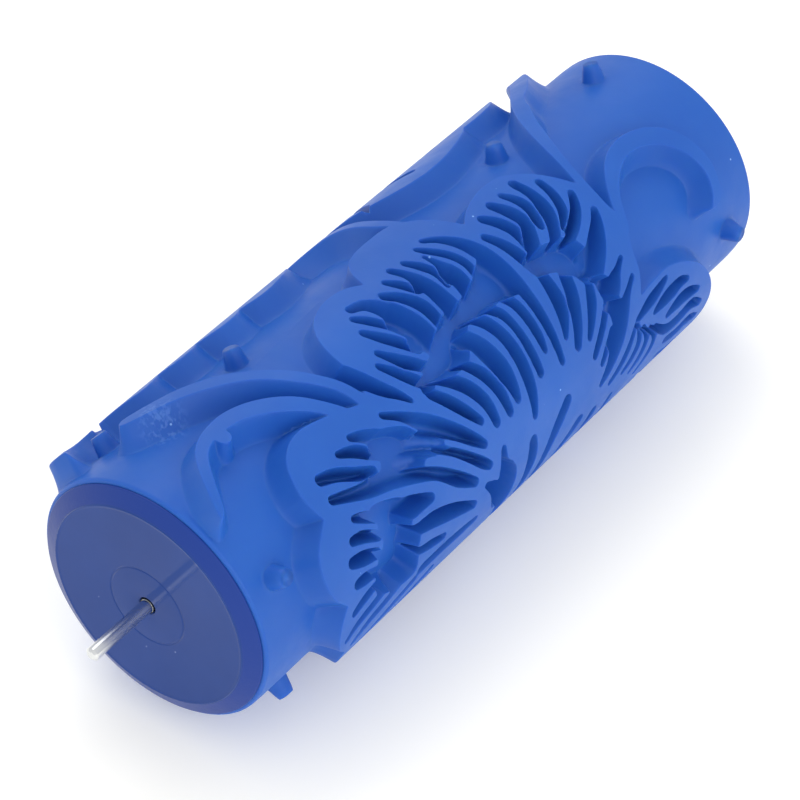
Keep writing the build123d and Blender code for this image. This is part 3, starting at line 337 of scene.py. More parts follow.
# Low ends of two fingers, which run down into the hollows, and a trace of the mould's parting line.
# Each is (y, s, height) at both ends, then half its width.
FINGER_ENDS = [
    ((-30.8, 13.2, 5.4), (-36.4, 17.3, 1.2), 1.9),
    ((-35.2, 13.0, 5.4), (-41.2, 15.3, 0.6), 1.9),
]
PARTING_LINE = [((-48.0, 52.0, 0.2), (-22.0, 54.8, 0.2), 0.4)]

# the half-round knob on the inner leaf's inner wall, as a stroke
KNOB = [(-71.6, 40.5, 1.7), (-71.6, 40.7, 1.7)]

# ---- the height field ---------------------------------------------------------------------
TURN = 2 * pi * DRUM_R  # length once round the drum
ROWS = 1120  # cells round the drum
COLS = 1104  # cells along it
Y_FLAT = HALF - RIM_R
SEAM = -44.0  # where round the drum the layout starts
STEP_S = TURN / ROWS
STEP_Y = 2 * Y_FLAT / COLS
FAR = 4.5  # distances are worked out only this far from a line
RIDGE_REACH = 3.0
PEG_REACH = 5.0
LINE_Y = np.linspace(-Y_FLAT, Y_FLAT, COLS + 1)


def window(y_low, y_high, s_low, s_high):
    """Row and column numbers of the field's points in a box. Rows may run past the seam."""
    i = np.arange(int(np.floor((s_low - SEAM) / STEP_S)), int(np.ceil((s_high - SEAM) / STEP_S)) + 1)
    first = max(0, int(np.floor((y_low + Y_FLAT) / STEP_Y)))
    last = min(COLS, int(np.ceil((y_high + Y_FLAT) / STEP_Y)))
    return i, np.arange(first, last + 1)


def near_segment(y0, s0, y1, s1, reach):
    """The field's cells near a segment, their distance from it, and how far along it they are, 0 to 1."""
    i, j = window(min(y0, y1) - reach, max(y0, y1) + reach, min(s0, s1) - reach, max(s0, s1) + reach)
    dy = LINE_Y[j][None, :] - y0
    ds = (SEAM + i * STEP_S)[:, None] - s0
    t = np.clip((dy * (y1 - y0) + ds * (s1 - s0)) / ((y1 - y0) ** 2 + (s1 - s0) ** 2), 0, 1)
    return np.ix_(i % ROWS, j), np.hypot(dy - t * (y1 - y0), ds - t * (s1 - s0)), t


def lower_to_stroke(field, stroke):
    """Lowers the field to the distance outside a stroke of (y, s, half width) points."""
    for (y0, s0, w0), (y1, s1, w1) in zip(stroke, stroke[1:]):
        cells, gap, t = near_segment(y0, s0, y1, s1, max(w0, w1) + FAR)
        field[cells] = np.minimum(field[cells], gap - w0 - t * (w1 - w0))


def far_field():
    """A field of distances with nothing near, for strokes and outlines to lower."""
    return np.full((ROWS, COLS + 1), FAR)


def smoothed(run, steps=4):
    """Extra points between those of an open run, on a smooth curve through them."""
    ends = [run[0]] + run + [run[-1]]
    out = []
    for a, b, c, d in zip(ends, ends[1:], ends[2:], ends[3:]):
        for t in np.arange(steps) / steps:
            out.append(tuple(
                0.5 * (2 * q + (r - p) * t + (2 * p - 5 * q + 4 * r - v) * t**2
                       + (3 * q - p - 3 * r + v) * t**3)
                for p, q, r, v in zip(a, b, c, d)
            ))
    return out + [run[-1]]


def signed_distance(outline):
    """Distance inside a closed outline, negative outside it, and no less than -FAR."""
    gap = far_field()
    lower_to_stroke(gap, [(y, s, 0.0) for y, s in outline])
    flips = np.zeros((ROWS, COLS + 2), int)
    for (y0, s0), (y1, s1) in zip(outline, outline[1:]):
        if s0 == s1:
            continue
        low, high = sorted(((s0 - SEAM) / STEP_S, (s1 - SEAM) / STEP_S))
        i = np.arange(int(np.ceil(low)), int(np.ceil(high)))
        y = y0 + (SEAM + i * STEP_S - s0) * (y1 - y0) / (s1 - s0)
        j = np.clip(np.ceil((y + Y_FLAT) / STEP_Y), 0, COLS + 1).astype(int)
        np.add.at(flips, (i % ROWS, j), 1)
    inside = np.cumsum(flips, axis=1)[:, :-1] % 2 == 1
    return np.where(inside, gap, -gap)


def soft_min(a, b, k):
    """The lower of two heights, with the crease between them rounded over a height of k."""
    h = np.maximum(k - np.abs(a - b), 0)
    return np.minimum(a, b) - h * h / (4 * k)


def soft_max(a, b, k):
    """The higher of two heights, rounded in the same way."""
    return -soft_min(-a, -b, k)


def outer_wall(gap, run=WALL_RUN):
    """Height of a drafted outer wall, by distance inside the top edge. Its foot is a wide fillet."""
    u = np.clip(-gap / run, -1, 1)
    return RELIEF * np.where(u < 0, 1 - FILLET * u, np.abs(1 - u) ** FILLET)


def groove_wall(gap):
    """Height of the steep wall of a groove, by distance outside the groove's top edge."""
    return soft_max(RELIEF + GROOVE_SLOPE * gap, np.full_like(gap, FLOOR_H), GROOVE_FOOT_ROUND)


def lapped(field, cells):
    """The field with some of its rows repeated at both ends, where it meets itself round the drum."""
    return np.concatenate([field[-cells:], field, field[:cells]])


def blurred(field, cells, passes=3):
    """The field averaged over a few cells each way, which rounds the corners of its lines."""
    for _ in range(passes):
        ring = lapped(field, cells)
        field = sum(ring[k:k + ROWS] for k in range(2 * cells + 1)) / (2 * cells + 1)
        wide = np.pad(field, ((0, 0), (cells, cells)), mode="edge")
        field = sum(wide[:, k:k + COLS + 1] for k in range(2 * cells + 1)) / (2 * cells + 1)
    return field


def opened_up(field, radius):
    """The field without peaks and ridges too narrow for a disc, which rounds the tips of the fingers."""
    reach = int(radius / STEP_Y) + 1
    disc = [
        (i, j) for i in range(-reach, reach + 1) for j in range(-reach, reach + 1)
        if np.hypot(i * STEP_S, j * STEP_Y) <= radius
    ]
    for pick in (np.minimum, np.maximum):
        wide = np.pad(lapped(field, reach), ((0, 0), (reach, reach)), mode="edge")
        field = wide[reach:reach + ROWS, reach:reach + COLS + 1]
        for i, j in disc:
            field = pick(field, wide[reach + i:reach + i + ROWS, reach + j:reach + j + COLS + 1])
    return field


def closed(ring):
    """A ring of runs as one smooth closed outline."""
    return sum((smoothed(run)[:-1] for run in ring), []) + [ring[0][0]]


def peg_heights(field):
    """Raises round pegs, cones with domed tips. The same angle round the drum is a longer way at a
    greater height, so the heights are found in a few rounds, each measured at those of the last."""
    for y, s in PEGS:
        i, j = window(y - PEG_REACH, y + PEG_REACH, s - PEG_REACH, s + PEG_REACH)
        dy = LINE_Y[j][None, :] - y
        angle = ((SEAM + i * STEP_S)[:, None] - s) / DRUM_R
        height = np.zeros((len(i), len(j)))
        for _ in range(4):
            gap = np.hypot(dy, (DRUM_R + height) * np.sin(angle))
            cone = PEG_H * (PEG_BASE_R - gap) / (PEG_BASE_R - PEG_TIP_R)
            dome = PEG_H + PEG_DOME - PEG_DOME_FALL * gap**2
            height = soft_max(soft_min(cone, dome, PEG_TIP_ROUND), np.zeros_like(cone), PEG_FOOT_ROUND)
        cells = np.ix_(i % ROWS, j)
        field[cells] = np.maximum(field[cells], height)


def ridge_heights(field, ridges):
    """Raises low rounded ridges."""
    for (y0, s0, h0), (y1, s1, h1), wide in ridges:
        cells, gap, t = near_segment(y0, s0, y1, s1, RIDGE_REACH)
        field[cells] = np.maximum(field[cells], (h0 + t * (h1 - h0)) * (1 - (gap / wide) ** 2))


def height_field():
    """Height of the rubber above the drum, all over the layout."""
    height = np.zeros((ROWS, COLS + 1))
    for ring in RAISED:
        run = BRACT_RUN if ring is BRACT else WALL_RUN
        height = np.maximum(height, outer_wall(signed_distance(closed(ring)), run))
    knob = far_field()
    lower_to_stroke(knob, KNOB)
    height = np.maximum(height, outer_wall(-knob, KNOB_RUN))
    dug = far_field()
    for stroke in GROOVES:
        lower_to_stroke(dug, smoothed(stroke, 3))
    opened = far_field()
    for ring in HOLLOWS:
        opened = np.minimum(opened, -signed_distance(closed([ring + ring[:1]])))
    height = soft_min(height, groove_wall(blurred(dug, 1) - GROOVE_EXTRA), CREASE)
    height = soft_min(height, outer_wall(blurred(opened, 2) - HOLLOW_EXTRA, HOLLOW_RUN), CREASE)
    ridge_heights(height, FINGER_ENDS)
    height = opened_up(height, TIP_R)
    height = soft_min(blurred(height, 1, 1), np.full_like(height, RELIEF), EDGE_ROUND)
    height = np.maximum(height, 0)
    ridge_heights(height, PARTING_LINE)
    peg_heights(height)
    fade = np.clip((Y_FLAT - END_FLAT - np.abs(LINE_Y)) / END_FADE, 0, 1)
    return height * (fade**2 * (3 - 2 * fade))


# ---- from the field to a mesh -------------------------------------------------------------
# heights above the drum, closest where the walls bend
LEVELS = [0.03, 0.12, 0.3, 0.65, 1.2, 2.0, 3.0, 4.0, 4.8, 5.2, 5.38, 5.46, 5.495]
STRIPS = 14  # the net is made in strips along the drum, which keeps each one small
BLOCK = 8  # cells between the points of the open surface
FLAT = 0.02  # points between the lines stand only where the height varies less than this
CLEAR = 3  # cells kept between those points and the lines
SHORTEST_LOOP = 10  # a closed line with fewer points than this is left out
MAX_EDGE = 1.3
MAX_TURN = 0.34  # radians between neighbouring points of a line
MERGE = 0.002  # points closer than this become one


def contours(field, level):
    """Lines of one height through a block of the field, as (points in rows and columns, closed)."""
    above = field > level
    cross_j = above[:, :-1] != above[:, 1:]
    cross_i = above[:-1] != above[1:]
    ids_j = np.full(cross_j.shape, -1)
    ids_i = np.full(cross_i.shape, -1)
    ids_j[cross_j] = np.arange(cross_j.sum())
    ids_i[cross_i] = np.arange(cross_i.sum()) + cross_j.sum()
    a, b = np.nonzero(cross_j)
    spots_j = np.stack([a, b + (level - field[a, b]) / (field[a, b + 1] - field[a, b])], 1)
    a, b = np.nonzero(cross_i)
    spots_i = np.stack([a + (level - field[a, b]) / (field[a + 1, b] - field[a, b]), b], 1)
    spots = np.concatenate([spots_j, spots_i])
    sides = np.stack([ids_j[:-1], ids_j[1:], ids_i[:, :-1], ids_i[:, 1:]], -1)
    crossed = (sides >= 0).sum(-1)
    pairs = np.sort(sides[crossed == 2], axis=1)[:, 2:].tolist()
    for i, j in zip(*np.nonzero(crossed == 4)):
        middle = field[i:i + 2, j:j + 2].mean() > level
        low, high, left, right = sides[i, j].tolist()
        pairs += [[low, right], [high, left]] if middle == above[i, j] else [[low, left], [high, right]]
    links = [[] for _ in spots]
    for a, b in pairs:
        links[a].append(b)
        links[b].append(a)
    used = [False] * len(spots)
    lines = []
    for start in sorted(range(len(spots)), key=lambda k: len(links[k])):
        if used[start]:
            continue
        chain = [start]
        used[start] = True
        step = True
        while step:
            step = [k for k in links[chain[-1]] if not used[k]]
            if step:
                chain.append(step[0])
                used[step[0]] = True
        lines.append((spots[chain], len(links[start]) == 2))
    return lines


def thinned(line, is_closed):
    """A line with its jitter smoothed out, and only the points that its bends need."""
    if is_closed:
        line = np.concatenate([line, line[:1]])
    for _ in range(3):
        inner = (line[:-2] + 2 * line[1:-1] + line[2:]) / 4
        if is_closed:
            end = (line[-2] + 2 * line[0] + line[1]) / 4
            line = np.concatenate([[end], inner, [end]])
        else:
            line = np.concatenate([line[:1], inner, line[-1:]])
    if len(line) < 4:
        return line
    step = np.diff(line, axis=0)
    length = np.hypot(*step.T)
    turn = np.abs(np.angle(np.exp(1j * np.diff(np.arctan2(step[:, 1], step[:, 0])))))
    cost = np.cumsum(length[:-1] / MAX_EDGE + turn / MAX_TURN)
    keep = np.concatenate([[True], np.diff(np.floor(cost), prepend=0) > 0, [True]])
    return line[keep]


def net(field, first_row, last_row):
    """Triangles over one strip of the layout: points (s, y), a height for each, faces."""
    block = field[first_row:last_row + 1]
    wide = last_row - first_row
    points, heights, edges = [], [], []

    def put(spots, values):
        start = sum(len(p) for p in points)
        points.append(spots)
        heights.append(np.broadcast_to(values, len(spots)))
        return start

    rims = {0: [], wide: []}
    for level in LEVELS:
        for line, is_closed in contours(block, level):
            if is_closed and len(line) < SHORTEST_LOOP:
                continue
            for end in () if is_closed else (line[0], line[-1]):
                rims[round(end[0])].append(end[1])
            spots = thinned(line * (STEP_S, STEP_Y), is_closed)
            if is_closed:
                spots = spots[:-1]
            n = len(spots)
            start = put(spots, level)
            edges += [(start + k, start + k + 1) for k in range(n - 1)]
            if is_closed:
                edges.append((start + n - 1, start))
    for row, crossings in rims.items():
        taken = np.array(crossings or [-np.inf])
        free = [c for c in range(0, COLS + 1, BLOCK) if c in (0, COLS) or np.abs(taken - c).min() > CLEAR]
        put(np.stack([np.full(len(free), row * STEP_S), np.array(free) * STEP_Y], 1), block[row, free])
    i = np.arange(BLOCK, wide, BLOCK)
    for col in (0, COLS):
        put(np.stack([i * STEP_S, np.full(len(i), col * STEP_Y)], 1), block[i, col])
    inner = []
    shift = 0
    for row in range(BLOCK, wide, BLOCK):
        shift = BLOCK // 2 - shift
        for col in range(BLOCK + shift, COLS - BLOCK // 2, BLOCK):
            near = block[max(row - CLEAR, 0):row + CLEAR + 1, max(col - CLEAR, 0):col + CLEAR + 1]
            if near.max() - near.min() < FLAT:
                inner.append((row, col))
    inner = np.array(inner)
    put(inner * (STEP_S, STEP_Y), block[inner[:, 0], inner[:, 1]])
    points = np.concatenate(points)
    heights = np.concatenate(heights)
    out, _, faces, origin, _, _ = delaunay_2d_cdt([Vector(p) for p in points.tolist()], edges, [], 0, 1e-7)
    out = np.array([tuple(p) for p in out])
    known = np.array([o[0] if o and o[0] < len(heights) else -1 for o in origin])
    sampled = sample(block, out[:, 0] / STEP_S, out[:, 1] / STEP_Y)
    tall = np.where(known >= 0, heights[known], sampled)
    out[:, 0] += SEAM + first_row * STEP_S
    out[:, 1] -= Y_FLAT
    return out, tall, np.array(faces)[:, ::-1]


def sample(field, row, col):
    """Values of the field between its points."""
    i = np.clip(np.floor(row), 0, field.shape[0] - 2).astype(int)
    j = np.clip(np.floor(col), 0, field.shape[1] - 2).astype(int)
    u, v = row - i, col - j
    return ((1 - u) * ((1 - v) * field[i, j] + v * field[i, j + 1])
            + u * ((1 - v) * field[i + 1, j] + v * field[i + 1, j + 1]))


def on_drum(points, heights, gradient_s, gradient_y):
    """Positions and outward normals, in metres, of points of the layout raised off the drum."""
    angle = points[:, 0] / DRUM_R
    radius = DRUM_R + heights
    # the tops and the floor stay flat right up to their edges
    share = np.interp(heights, [0.03, 0.3, RELIEF - 0.14, RELIEF - 0.01], [0, 1, 1, 0])
    gradient_s, gradient_y = gradient_s * share, gradient_y * share
    place = np.stack([radius * np.cos(angle), points[:, 1], radius * np.sin(angle)], 1)
    around = -gradient_s * DRUM_R / radius
    normal = np.stack([
        np.cos(angle) - around * np.sin(angle), -gradient_y, np.sin(angle) + around * np.cos(angle),
    ], 1)
    return place * MM, normal / np.linalg.norm(normal, axis=1)[:, None]


def rubber_mesh(field):
    """The whole sleeve: the patterned side, the rounded rims, the end faces and the bore."""
    slope_s = (np.roll(field, -1, 0) - np.roll(field, 1, 0)) / (2 * STEP_S)
    slope_y = np.gradient(field, STEP_Y, axis=1)
    field, slope_s, slope_y = (np.concatenate([f, f[:1]]) for f in (field, slope_s, slope_y))
    places, normals, faces = [], [], []
    total = 0
    for strip in range(STRIPS):
        first, last = ROWS * strip // STRIPS, ROWS * (strip + 1) // STRIPS
        points, tall, tris = net(field, first, last)
        row, col = (points[:, 0] - SEAM) / STEP_S, (points[:, 1] + Y_FLAT) / STEP_Y
        place, normal = on_drum(points, tall, sample(slope_s, row, col), sample(slope_y, row, col))
        places.append(place)
        normals.append(normal)
        faces.append(tris + total)
        total += len(place)
    rim_faces = []
    angles = (SEAM + np.arange(0, ROWS, BLOCK) * STEP_S) / DRUM_R
    across = [
        (DRUM_R - RIM_R + RIM_R * cos(a), RIM_R * sin(a), cos(a), sin(a))
        for a in np.linspace(0, pi / 2, 7)
    ]
    n = len(angles)
    for side in (-1, 1):
        rings = [(r, side * (Y_FLAT + y), nr, side * ny) for r, y, nr, ny in across]
        rings += [
            (BORE_R + BORE_EDGE, side * HALF, 0, side),
            (BORE_R, side * (HALF - BORE_EDGE), -1, 0),
            (BORE_R, 0, -1, 0),
        ]
        for k, (r, y, nr, ny) in enumerate(rings):
            places.append(np.stack([r * np.cos(angles), np.full(n, y), r * np.sin(angles)], 1) * MM)
            normals.append(np.stack([nr * np.cos(angles), np.full(n, float(ny)), nr * np.sin(angles)], 1))
            if k:
                for i in range(n):
                    j = (i + 1) % n
                    quad = [total - n + i, total - n + j, total + j, total + i]
                    rim_faces.append(quad if side < 0 else quad[::-1])
            total += n
    return np.concatenate(places), np.concatenate(normals), np.concatenate(faces), rim_faces


def add_object(name, data):
    obj = bpy.data.objects.new(name, data)
    bpy.context.scene.collection.objects.link(obj)
    return obj


def build_sleeve():
    """One closed mesh: the points where strips, rims and bore meet are joined."""
    place, normal, tris, quads = rubber_mesh(height_field())
    keys = np.round(place / (MERGE * MM)).astype(np.int64)
    _, first, which = np.unique(keys, axis=0, return_index=True, return_inverse=True)
    which = which.reshape(-1)
    place, normal = place[first], normal[first]
    polygons = [list(dict.fromkeys(which[list(f)].tolist())) for f in tris.tolist() + quads]
    polygons = [p for p in polygons if len(p) > 2]
    mesh = bpy.data.meshes.new("sleeve_rubber")
    mesh.from_pydata(place.tolist(), [], polygons)
    mesh.validate()
    mesh.polygons.foreach_set("use_smooth", [True] * len(mesh.polygons))
    mesh.normals_split_custom_set_from_vertices(normal.tolist())
    mesh.update()
    return add_object("sleeve_rubber", mesh)


# ---- the end caps -------------------------------------------------------------------------
def rounded(points, steps=4):
    """A profile of (r, y, corner radius) points with its corners rounded."""
    out = []
    n = len(points)
    for k, (r, y, fillet) in enumerate(points):
        here = np.array([r, y])
        before, after = (np.array(points[m][:2]) for m in ((k - 1) % n, (k + 1) % n))
        if not fillet:
            out.append(here)
            continue
        a = here + (before - here) / np.linalg.norm(before - here) * fillet
        b = here + (after - here) / np.linalg.norm(after - here) * fillet
        for t in np.linspace(0, 1, steps + 1):
            out.append((1 - t) ** 2 * a + 2 * t * (1 - t) * here + t**2 * b)
    return np.array(out)


def cap_profile():
    """The cap's section, with a shallow ring round the axle and a fine raised line at the face's edge."""
    face, back = CAP_FACE_Y, CAP_FACE_Y - CAP_PLATE
    end, line, ring = HALF - SPIGOT_LEN, face + CAP_LIP, face - CAP_RING_DEPTH
    return rounded([
        (CAP_BORE_R, face - HUB_LEN, 0), (HUB_R - 1, face - HUB_LEN, 0.2), (HUB_R, back, 0.3),
        (SPIGOT_R - SPIGOT_WALL, back, 0.3), (SPIGOT_R - SPIGOT_WALL, end, 0.1),
        (SPIGOT_R - 0.6, end, 0.1), (SPIGOT_R, end + SPIGOT_LEAD, 0.2),
        (SPIGOT_R, HALF, 0), (CAP_R, HALF, 0.06), (CAP_R, HALF + 0.5, 0.22),
        (CAP_FACE_R + 0.1, face - 0.08, 0.03),
        (CAP_FACE_R, line, 0.06), (CAP_FACE_R - 0.25, line, 0.05), (CAP_FACE_R - 0.55, face, 0.15),
        (CAP_RING_R + 0.3, face, 0.05), (CAP_RING_R + 0.1, ring, 0.04),
        (CAP_RING_R - 0.1, ring, 0.04), (CAP_RING_R - 0.3, face, 0.05),
        (CAP_BORE_R + 0.35, face, 0.1), (CAP_BORE_R, face - 0.4, 0.15),
    ])


def lathe(name, profile, side, around=160):
    """A closed solid of revolution about the axle. side is -1 at the near end and 1 at the far end."""
    turn = np.arange(around) * 2 * pi / around
    r, y = profile[:, 0], profile[:, 1] * side
    across, along = np.outer(r, np.cos(turn)), np.outer(y, np.ones(around))
    places = np.stack([across, along, np.outer(r, np.sin(turn))], -1)
    n = len(profile)
    faces = []
    for k in range(n):
        for i in range(around):
            a, b = k * around, (k + 1) % n * around
            j = (i + 1) % around
            quad = [a + i, a + j, b + j, b + i]
            faces.append(quad[::-1] if side > 0 else quad)
    mesh = bpy.data.meshes.new(name)
    mesh.from_pydata((places.reshape(-1, 3) * MM).tolist(), [], faces)
    mesh.validate()
    mesh.shade_smooth()
    mesh.set_sharp_from_angle(angle=radians(35))
    return add_object(name, mesh)


# ---- materials ----------------------------------------------------------------------------
def new_material(name):
    material = bpy.data.materials.new(name)
    material.use_nodes = True
    tree = material.node_tree
    return material, tree, tree.nodes["Principled BSDF"]


def noise(tree, scale, detail=3.0, stretch=(1, 1, 1)):
    """A noise texture in object space."""
    where = tree.nodes.new("ShaderNodeTexCoord")
    mapping = tree.nodes.new("ShaderNodeMapping")
    mapping.inputs["Scale"].default_value = stretch
    texture = tree.nodes.new("ShaderNodeTexNoise")
    texture.inputs["Scale"].default_value = scale
    texture.inputs["Detail"].default_value = detail
    tree.links.new(where.outputs["Object"], mapping.inputs["Vector"])
    tree.links.new(mapping.outputs["Vector"], texture.inputs["Vector"])
    return texture.outputs["Fac"]


def ramp(tree, source, stops):
    """A colour ramp between two (position, colour) stops."""
    node = tree.nodes.new("ShaderNodeValToRGB")
    for element, (position, colour) in zip(node.color_ramp.elements, stops):
        element.position, element.color = position, colour
    tree.links.new(source, node.inputs["Fac"])
    return node.outputs["Color"]


def map_range(tree, source, old, new):
    """Maps one range of values, (low, high), to another."""
    node = tree.nodes.new("ShaderNodeMapRange")
    for name, value in zip(("From Min", "From Max", "To Min", "To Max"), (*old, *new)):
        node.inputs[name].default_value = value
    tree.links.new(source, node.inputs["Value"])
    return node.outputs["Result"]


def spread_value(tree, source, low, high):
    """Spreads the middle of a noise texture's range over low to high."""
    return map_range(tree, source, (0.3, 0.7), (low, high))


def bump(tree, source, distance, strength, base=None):
    node = tree.nodes.new("ShaderNodeBump")
    node.inputs["Distance"].default_value = distance
    node.inputs["Strength"].default_value = strength
    tree.links.new(source, node.inputs["Height"])
    if base is not None:
        tree.links.new(base, node.inputs["Normal"])
    return node.outputs["Normal"]


def near_point(tree, point, inner, outer):
    """1 within one distance of a point, in metres, fading to 0 at another."""
    where = tree.nodes.new("ShaderNodeTexCoord")
    gap = tree.nodes.new("ShaderNodeVectorMath")
    gap.operation = "DISTANCE"
    gap.inputs[1].default_value = point
    tree.links.new(where.outputs["Object"], gap.inputs[0])
    return fall_off(tree, gap.outputs["Value"], inner, outer)


def fall_off(tree, source, inner, outer):
    """1 where the source is at inner, falling to 0 at outer."""
    return map_range(tree, source, (inner, outer), (1.0, 0.0))


def axle_distance(tree):
    """Distance from the centre line of the axle, in metres."""
    where = tree.nodes.new("ShaderNodeTexCoord")
    flat = tree.nodes.new("ShaderNodeVectorMath")
    flat.operation = "MULTIPLY"
    flat.inputs[1].default_value = (1, 0, 1)
    radius = tree.nodes.new("ShaderNodeVectorMath")
    radius.operation = "LENGTH"
    tree.links.new(where.outputs["Object"], flat.inputs[0])
    tree.links.new(flat.outputs["Vector"], radius.inputs[0])
    return radius.outputs["Value"]


def combined(tree, operation, a, b):
    node = tree.nodes.new("ShaderNodeMath")
    node.operation = operation
    tree.links.new(a, node.inputs[0])
    tree.links.new(b, node.inputs[1])
    return node.outputs["Value"]


def blend(tree, mask, below, above):
    """Lays one colour over another where the mask is 1."""
    node = tree.nodes.new("ShaderNodeMix")
    node.data_type = "RGBA"
    tree.links.new(mask, node.inputs["Factor"])
    tree.links.new(below, node.inputs["A"])
    node.inputs["B"].default_value = above
    return node.outputs["Result"]


def specks(tree, scale, size):
    """A mask of small dots strewn over the surface."""
    where = tree.nodes.new("ShaderNodeTexCoord")
    cells = tree.nodes.new("ShaderNodeTexVoronoi")
    cells.inputs["Scale"].default_value = scale
    tree.links.new(where.outputs["Object"], cells.inputs["Vector"])
    return fall_off(tree, cells.outputs["Distance"], size * 0.6, size)


def rubber_material():
    material, tree, shader = new_material("blue_rubber")
    colour = ramp(tree, noise(tree, 45.0), [
        (0.3, (0.0110, 0.097, 0.445, 1)), (0.7, (0.0150, 0.112, 0.485, 1)),
    ])
    scratches = fall_off(tree, noise(tree, 1100.0, 2.0, (1, 1, 0.25)), 0.62, 0.48)
    scuffed = near_point(tree, SCUFF_AT, 0.002, 0.006)
    scuffs = combined(tree, "MULTIPLY", scratches, scuffed)
    colour = blend(tree, scuffs, colour, (0.055, 0.17, 0.55, 1))
    colour = blend(tree, specks(tree, 120.0, 0.034), colour, (0.22, 0.42, 0.78, 1))
    tree.links.new(colour, shader.inputs["Base Color"])
    uneven = noise(tree, 160.0, 5.0)
    tree.links.new(spread_value(tree, uneven, 0.42, 0.56), shader.inputs["Roughness"])
    fine = bump(tree, noise(tree, 2600.0, 2.0), 0.00003, 0.4)
    coarse = bump(tree, noise(tree, 260.0, 4.0), 0.0002, 0.3, fine)
    tree.links.new(bump(tree, scuffs, 0.0002, 0.5, coarse), shader.inputs["Normal"])
    shader.inputs["Specular IOR Level"].default_value = 0.3
    shader.inputs["Subsurface Weight"].default_value = 0.45
    shader.inputs["Subsurface Radius"].default_value = (0.2, 0.45, 1.0)
    shader.inputs["Subsurface Scale"].default_value = 0.0015
    return material


def cap_material():
    """Glossy on the face. The bevel round it is plainer, and its colour is painted darker as shade."""
    material, tree, shader = new_material("blue_gloss_plastic")
    colour = ramp(tree, noise(tree, 60.0), [
        (0.3, (0.014, 0.047, 0.22, 1)), (0.7, (0.017, 0.054, 0.245, 1)),
    ])
    radius = axle_distance(tree)
    face = fall_off(tree, radius, (CAP_FACE_R + 0.1) * MM, (CAP_FACE_R + 0.3) * MM)
    bevel = ramp(tree, face, [(0.0, (1, 1, 1, 1)), (1.0, (0, 0, 0, 1))])
    grain = noise(tree, 900.0, 3.0)
    # painted shade: the bevel's colour is made darker, standing in for the shade its slope catches
    colour = blend(tree, bevel, colour, (0.012, 0.043, 0.255, 1))
    colour = blend(tree, specks(tree, 150.0, 0.03), colour, (0.25, 0.32, 0.6, 1))
    tree.links.new(colour, shader.inputs["Base Color"])
    rough = map_range(tree, face, (0.0, 1.0), (0.34, 0.05))
    uneven = spread_value(tree, noise(tree, 220.0, 6.0), 0.0, 0.04)
    tree.links.new(combined(tree, "ADD", rough, uneven), shader.inputs["Roughness"])
    shine = map_range(tree, face, (0.0, 1.0), (0.18, 0.16))
    tree.links.new(shine, shader.inputs["Specular IOR Level"])
    waves = bump(tree, noise(tree, 90.0, 2.0), 0.0002, 0.06)
    bevel_grain = combined(tree, "MULTIPLY", grain, bevel)
    tree.links.new(bump(tree, bevel_grain, 0.00008, 0.5, waves), shader.inputs["Normal"])
    return material


def steel_material(name, colour_low, colour_high, rough_low, rough_high, bright_r):
    """Drawn steel, painted dark and not metallic beyond a distance from the axle's centre line, in
    millimetres, as painted shade where the rod leaves the cap.
    """
    material, tree, shader = new_material(name)
    colour = ramp(tree, noise(tree, 400.0, 4.0, (1, 0.1, 1)), [
        (0.3, (*colour_low, 1)), (0.7, (*colour_high, 1)),
    ])
    distance = axle_distance(tree)
    inner, outer = bright_r * MM, (bright_r + SHADE_EDGE) * MM
    painted_shade = fall_off(tree, distance, outer, inner)
    tree.links.new(fall_off(tree, distance, inner, outer), shader.inputs["Metallic"])
    shader.inputs["Specular IOR Level"].default_value = 0.1
    # painted shade: the rod's shoulder is coloured dark, standing in for the shade inside the cap's hole
    colour = blend(tree, painted_shade, colour, (0.012, 0.016, 0.03, 1))
    tree.links.new(colour, shader.inputs["Base Color"])
    streaks = noise(tree, 1500.0, 3.0, (1, 0.04, 1))
    tree.links.new(spread_value(tree, streaks, rough_low, rough_high), shader.inputs["Roughness"])
    tree.links.new(bump(tree, streaks, 0.00003, 0.3), shader.inputs["Normal"])
    return material


def core_material():
    material, tree, shader = new_material("grey_tube_plastic")
    colour = ramp(tree, noise(tree, 80.0), [
        (0.3, (0.52, 0.52, 0.50, 1)), (0.7, (0.60, 0.60, 0.58, 1)),
    ])
    tree.links.new(colour, shader.inputs["Base Color"])
    uneven = noise(tree, 300.0, 4.0)
    tree.links.new(spread_value(tree, uneven, 0.45, 0.6), shader.inputs["Roughness"])
    streaks = noise(tree, 700.0, 2.0, (1, 0.1, 1))
    tree.links.new(bump(tree, streaks, 0.0001, 0.2), shader.inputs["Normal"])
    return material


def paint(obj, material):
    obj.data.materials.clear()
    obj.data.materials.append(material)


sleeve = build_sleeve()
paint(sleeve, rubber_material())
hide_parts("rubber_sleeve")
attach(sleeve, "roller")

cap_finish = cap_material()
for node, side in (("end_cap_near", -1), ("end_cap_far", 1)):
    cap = lathe(node.replace("end_", ""), cap_profile(), side)
    paint(cap, cap_finish)
    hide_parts(node)
    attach(cap, "roller")
paint(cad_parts["axle_rod"],
      steel_material("bright_zinc", (0.62, 0.64, 0.66), (0.80, 0.81, 0.82), 0.14, 0.3, AXLE_R + 0.02))
paint(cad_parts["axle_clips"],
      steel_material("spring_steel", (0.30, 0.30, 0.32), (0.42, 0.42, 0.44), 0.3, 0.45, CAP_R))
paint(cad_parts["core_tube"], core_material())

# ---- floor, light and camera --------------------------------------------------------------
DROP = cad_box[0][2]  # the roller rests on the tops of its pattern
FLOOR_HALF = 3.0


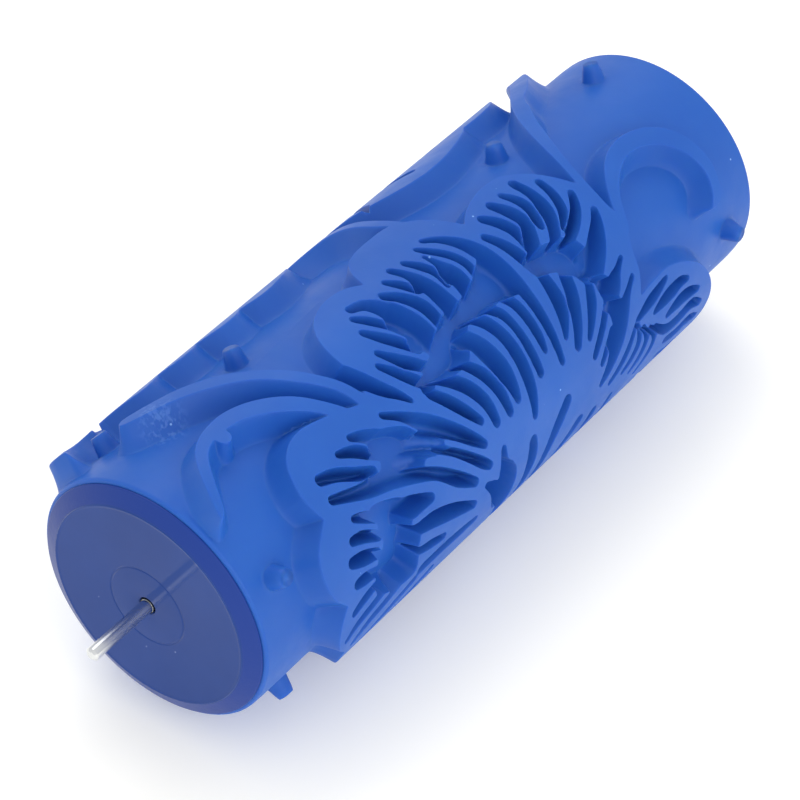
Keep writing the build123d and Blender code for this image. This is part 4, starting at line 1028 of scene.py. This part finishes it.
def make_floor():
    mesh = bpy.data.meshes.new("floor")
    around = ((-1, -1), (1, -1), (1, 1), (-1, 1))
    mesh.from_pydata([(FLOOR_HALF * x, FLOOR_HALF * y, DROP) for x, y in around], [], [(0, 1, 2, 3)])
    floor = add_object("floor", mesh)
    material, tree, shader = new_material("pale_floor")
    colour = ramp(tree, noise(tree, 3.0), [
        (0.3, (0.95, 0.94, 0.885, 1)), (0.7, (0.965, 0.955, 0.90, 1)),
    ])
    tree.links.new(colour, shader.inputs["Base Color"])
    shader.inputs["Roughness"].default_value = 0.8
    shader.inputs["Emission Color"].default_value = (1, 1, 1, 1)
    shader.inputs["Emission Strength"].default_value = 0.15
    paint(floor, material)


def area_light(name, place, size, power):
    """A square lamp that faces the middle of the roller."""
    light = bpy.data.lights.new(name, "AREA")
    light.shape = "SQUARE"
    light.size = size
    light.energy = power
    lamp = add_object(name, light)
    lamp.location = place
    lamp.rotation_euler = (-Vector(place)).to_track_quat("-Z", "Y").to_euler()


make_floor()
area_light("key", (-0.55, 0.35, 1.1), 0.8, 4)
area_light("fill", (1.0, -0.5, 0.5), 1.0, 5)

world = bpy.data.worlds.new("studio")
bpy.context.scene.world = world
world.use_nodes = True
background = world.node_tree.nodes["Background"]
background.inputs["Color"].default_value = (1, 1, 1, 1)
background.inputs["Strength"].default_value = 0.9
bpy.context.scene.view_settings.view_transform = "Standard"

# the camera's place, in metres, and its three directions
CAMERA_AT = (0.307434, -0.423882, 0.448592)
CAMERA_RIGHT = (0.804794, 0.593555, 0.0)
CAMERA_UP = (-0.391179, 0.530395, 0.752104)
CAMERA_BACK = (0.446415, -0.605288, 0.659045)
camera = bpy.data.cameras.new("camera")
camera.lens = 144.52
camera.sensor_width = 36.0
camera.clip_start = 0.01
camera_object = add_object("camera", camera)
rotation = Matrix((CAMERA_RIGHT, CAMERA_UP, CAMERA_BACK)).transposed().to_4x4()
camera_object.matrix_world = Matrix.Translation(CAMERA_AT) @ rotation
bpy.context.scene.camera = camera_object
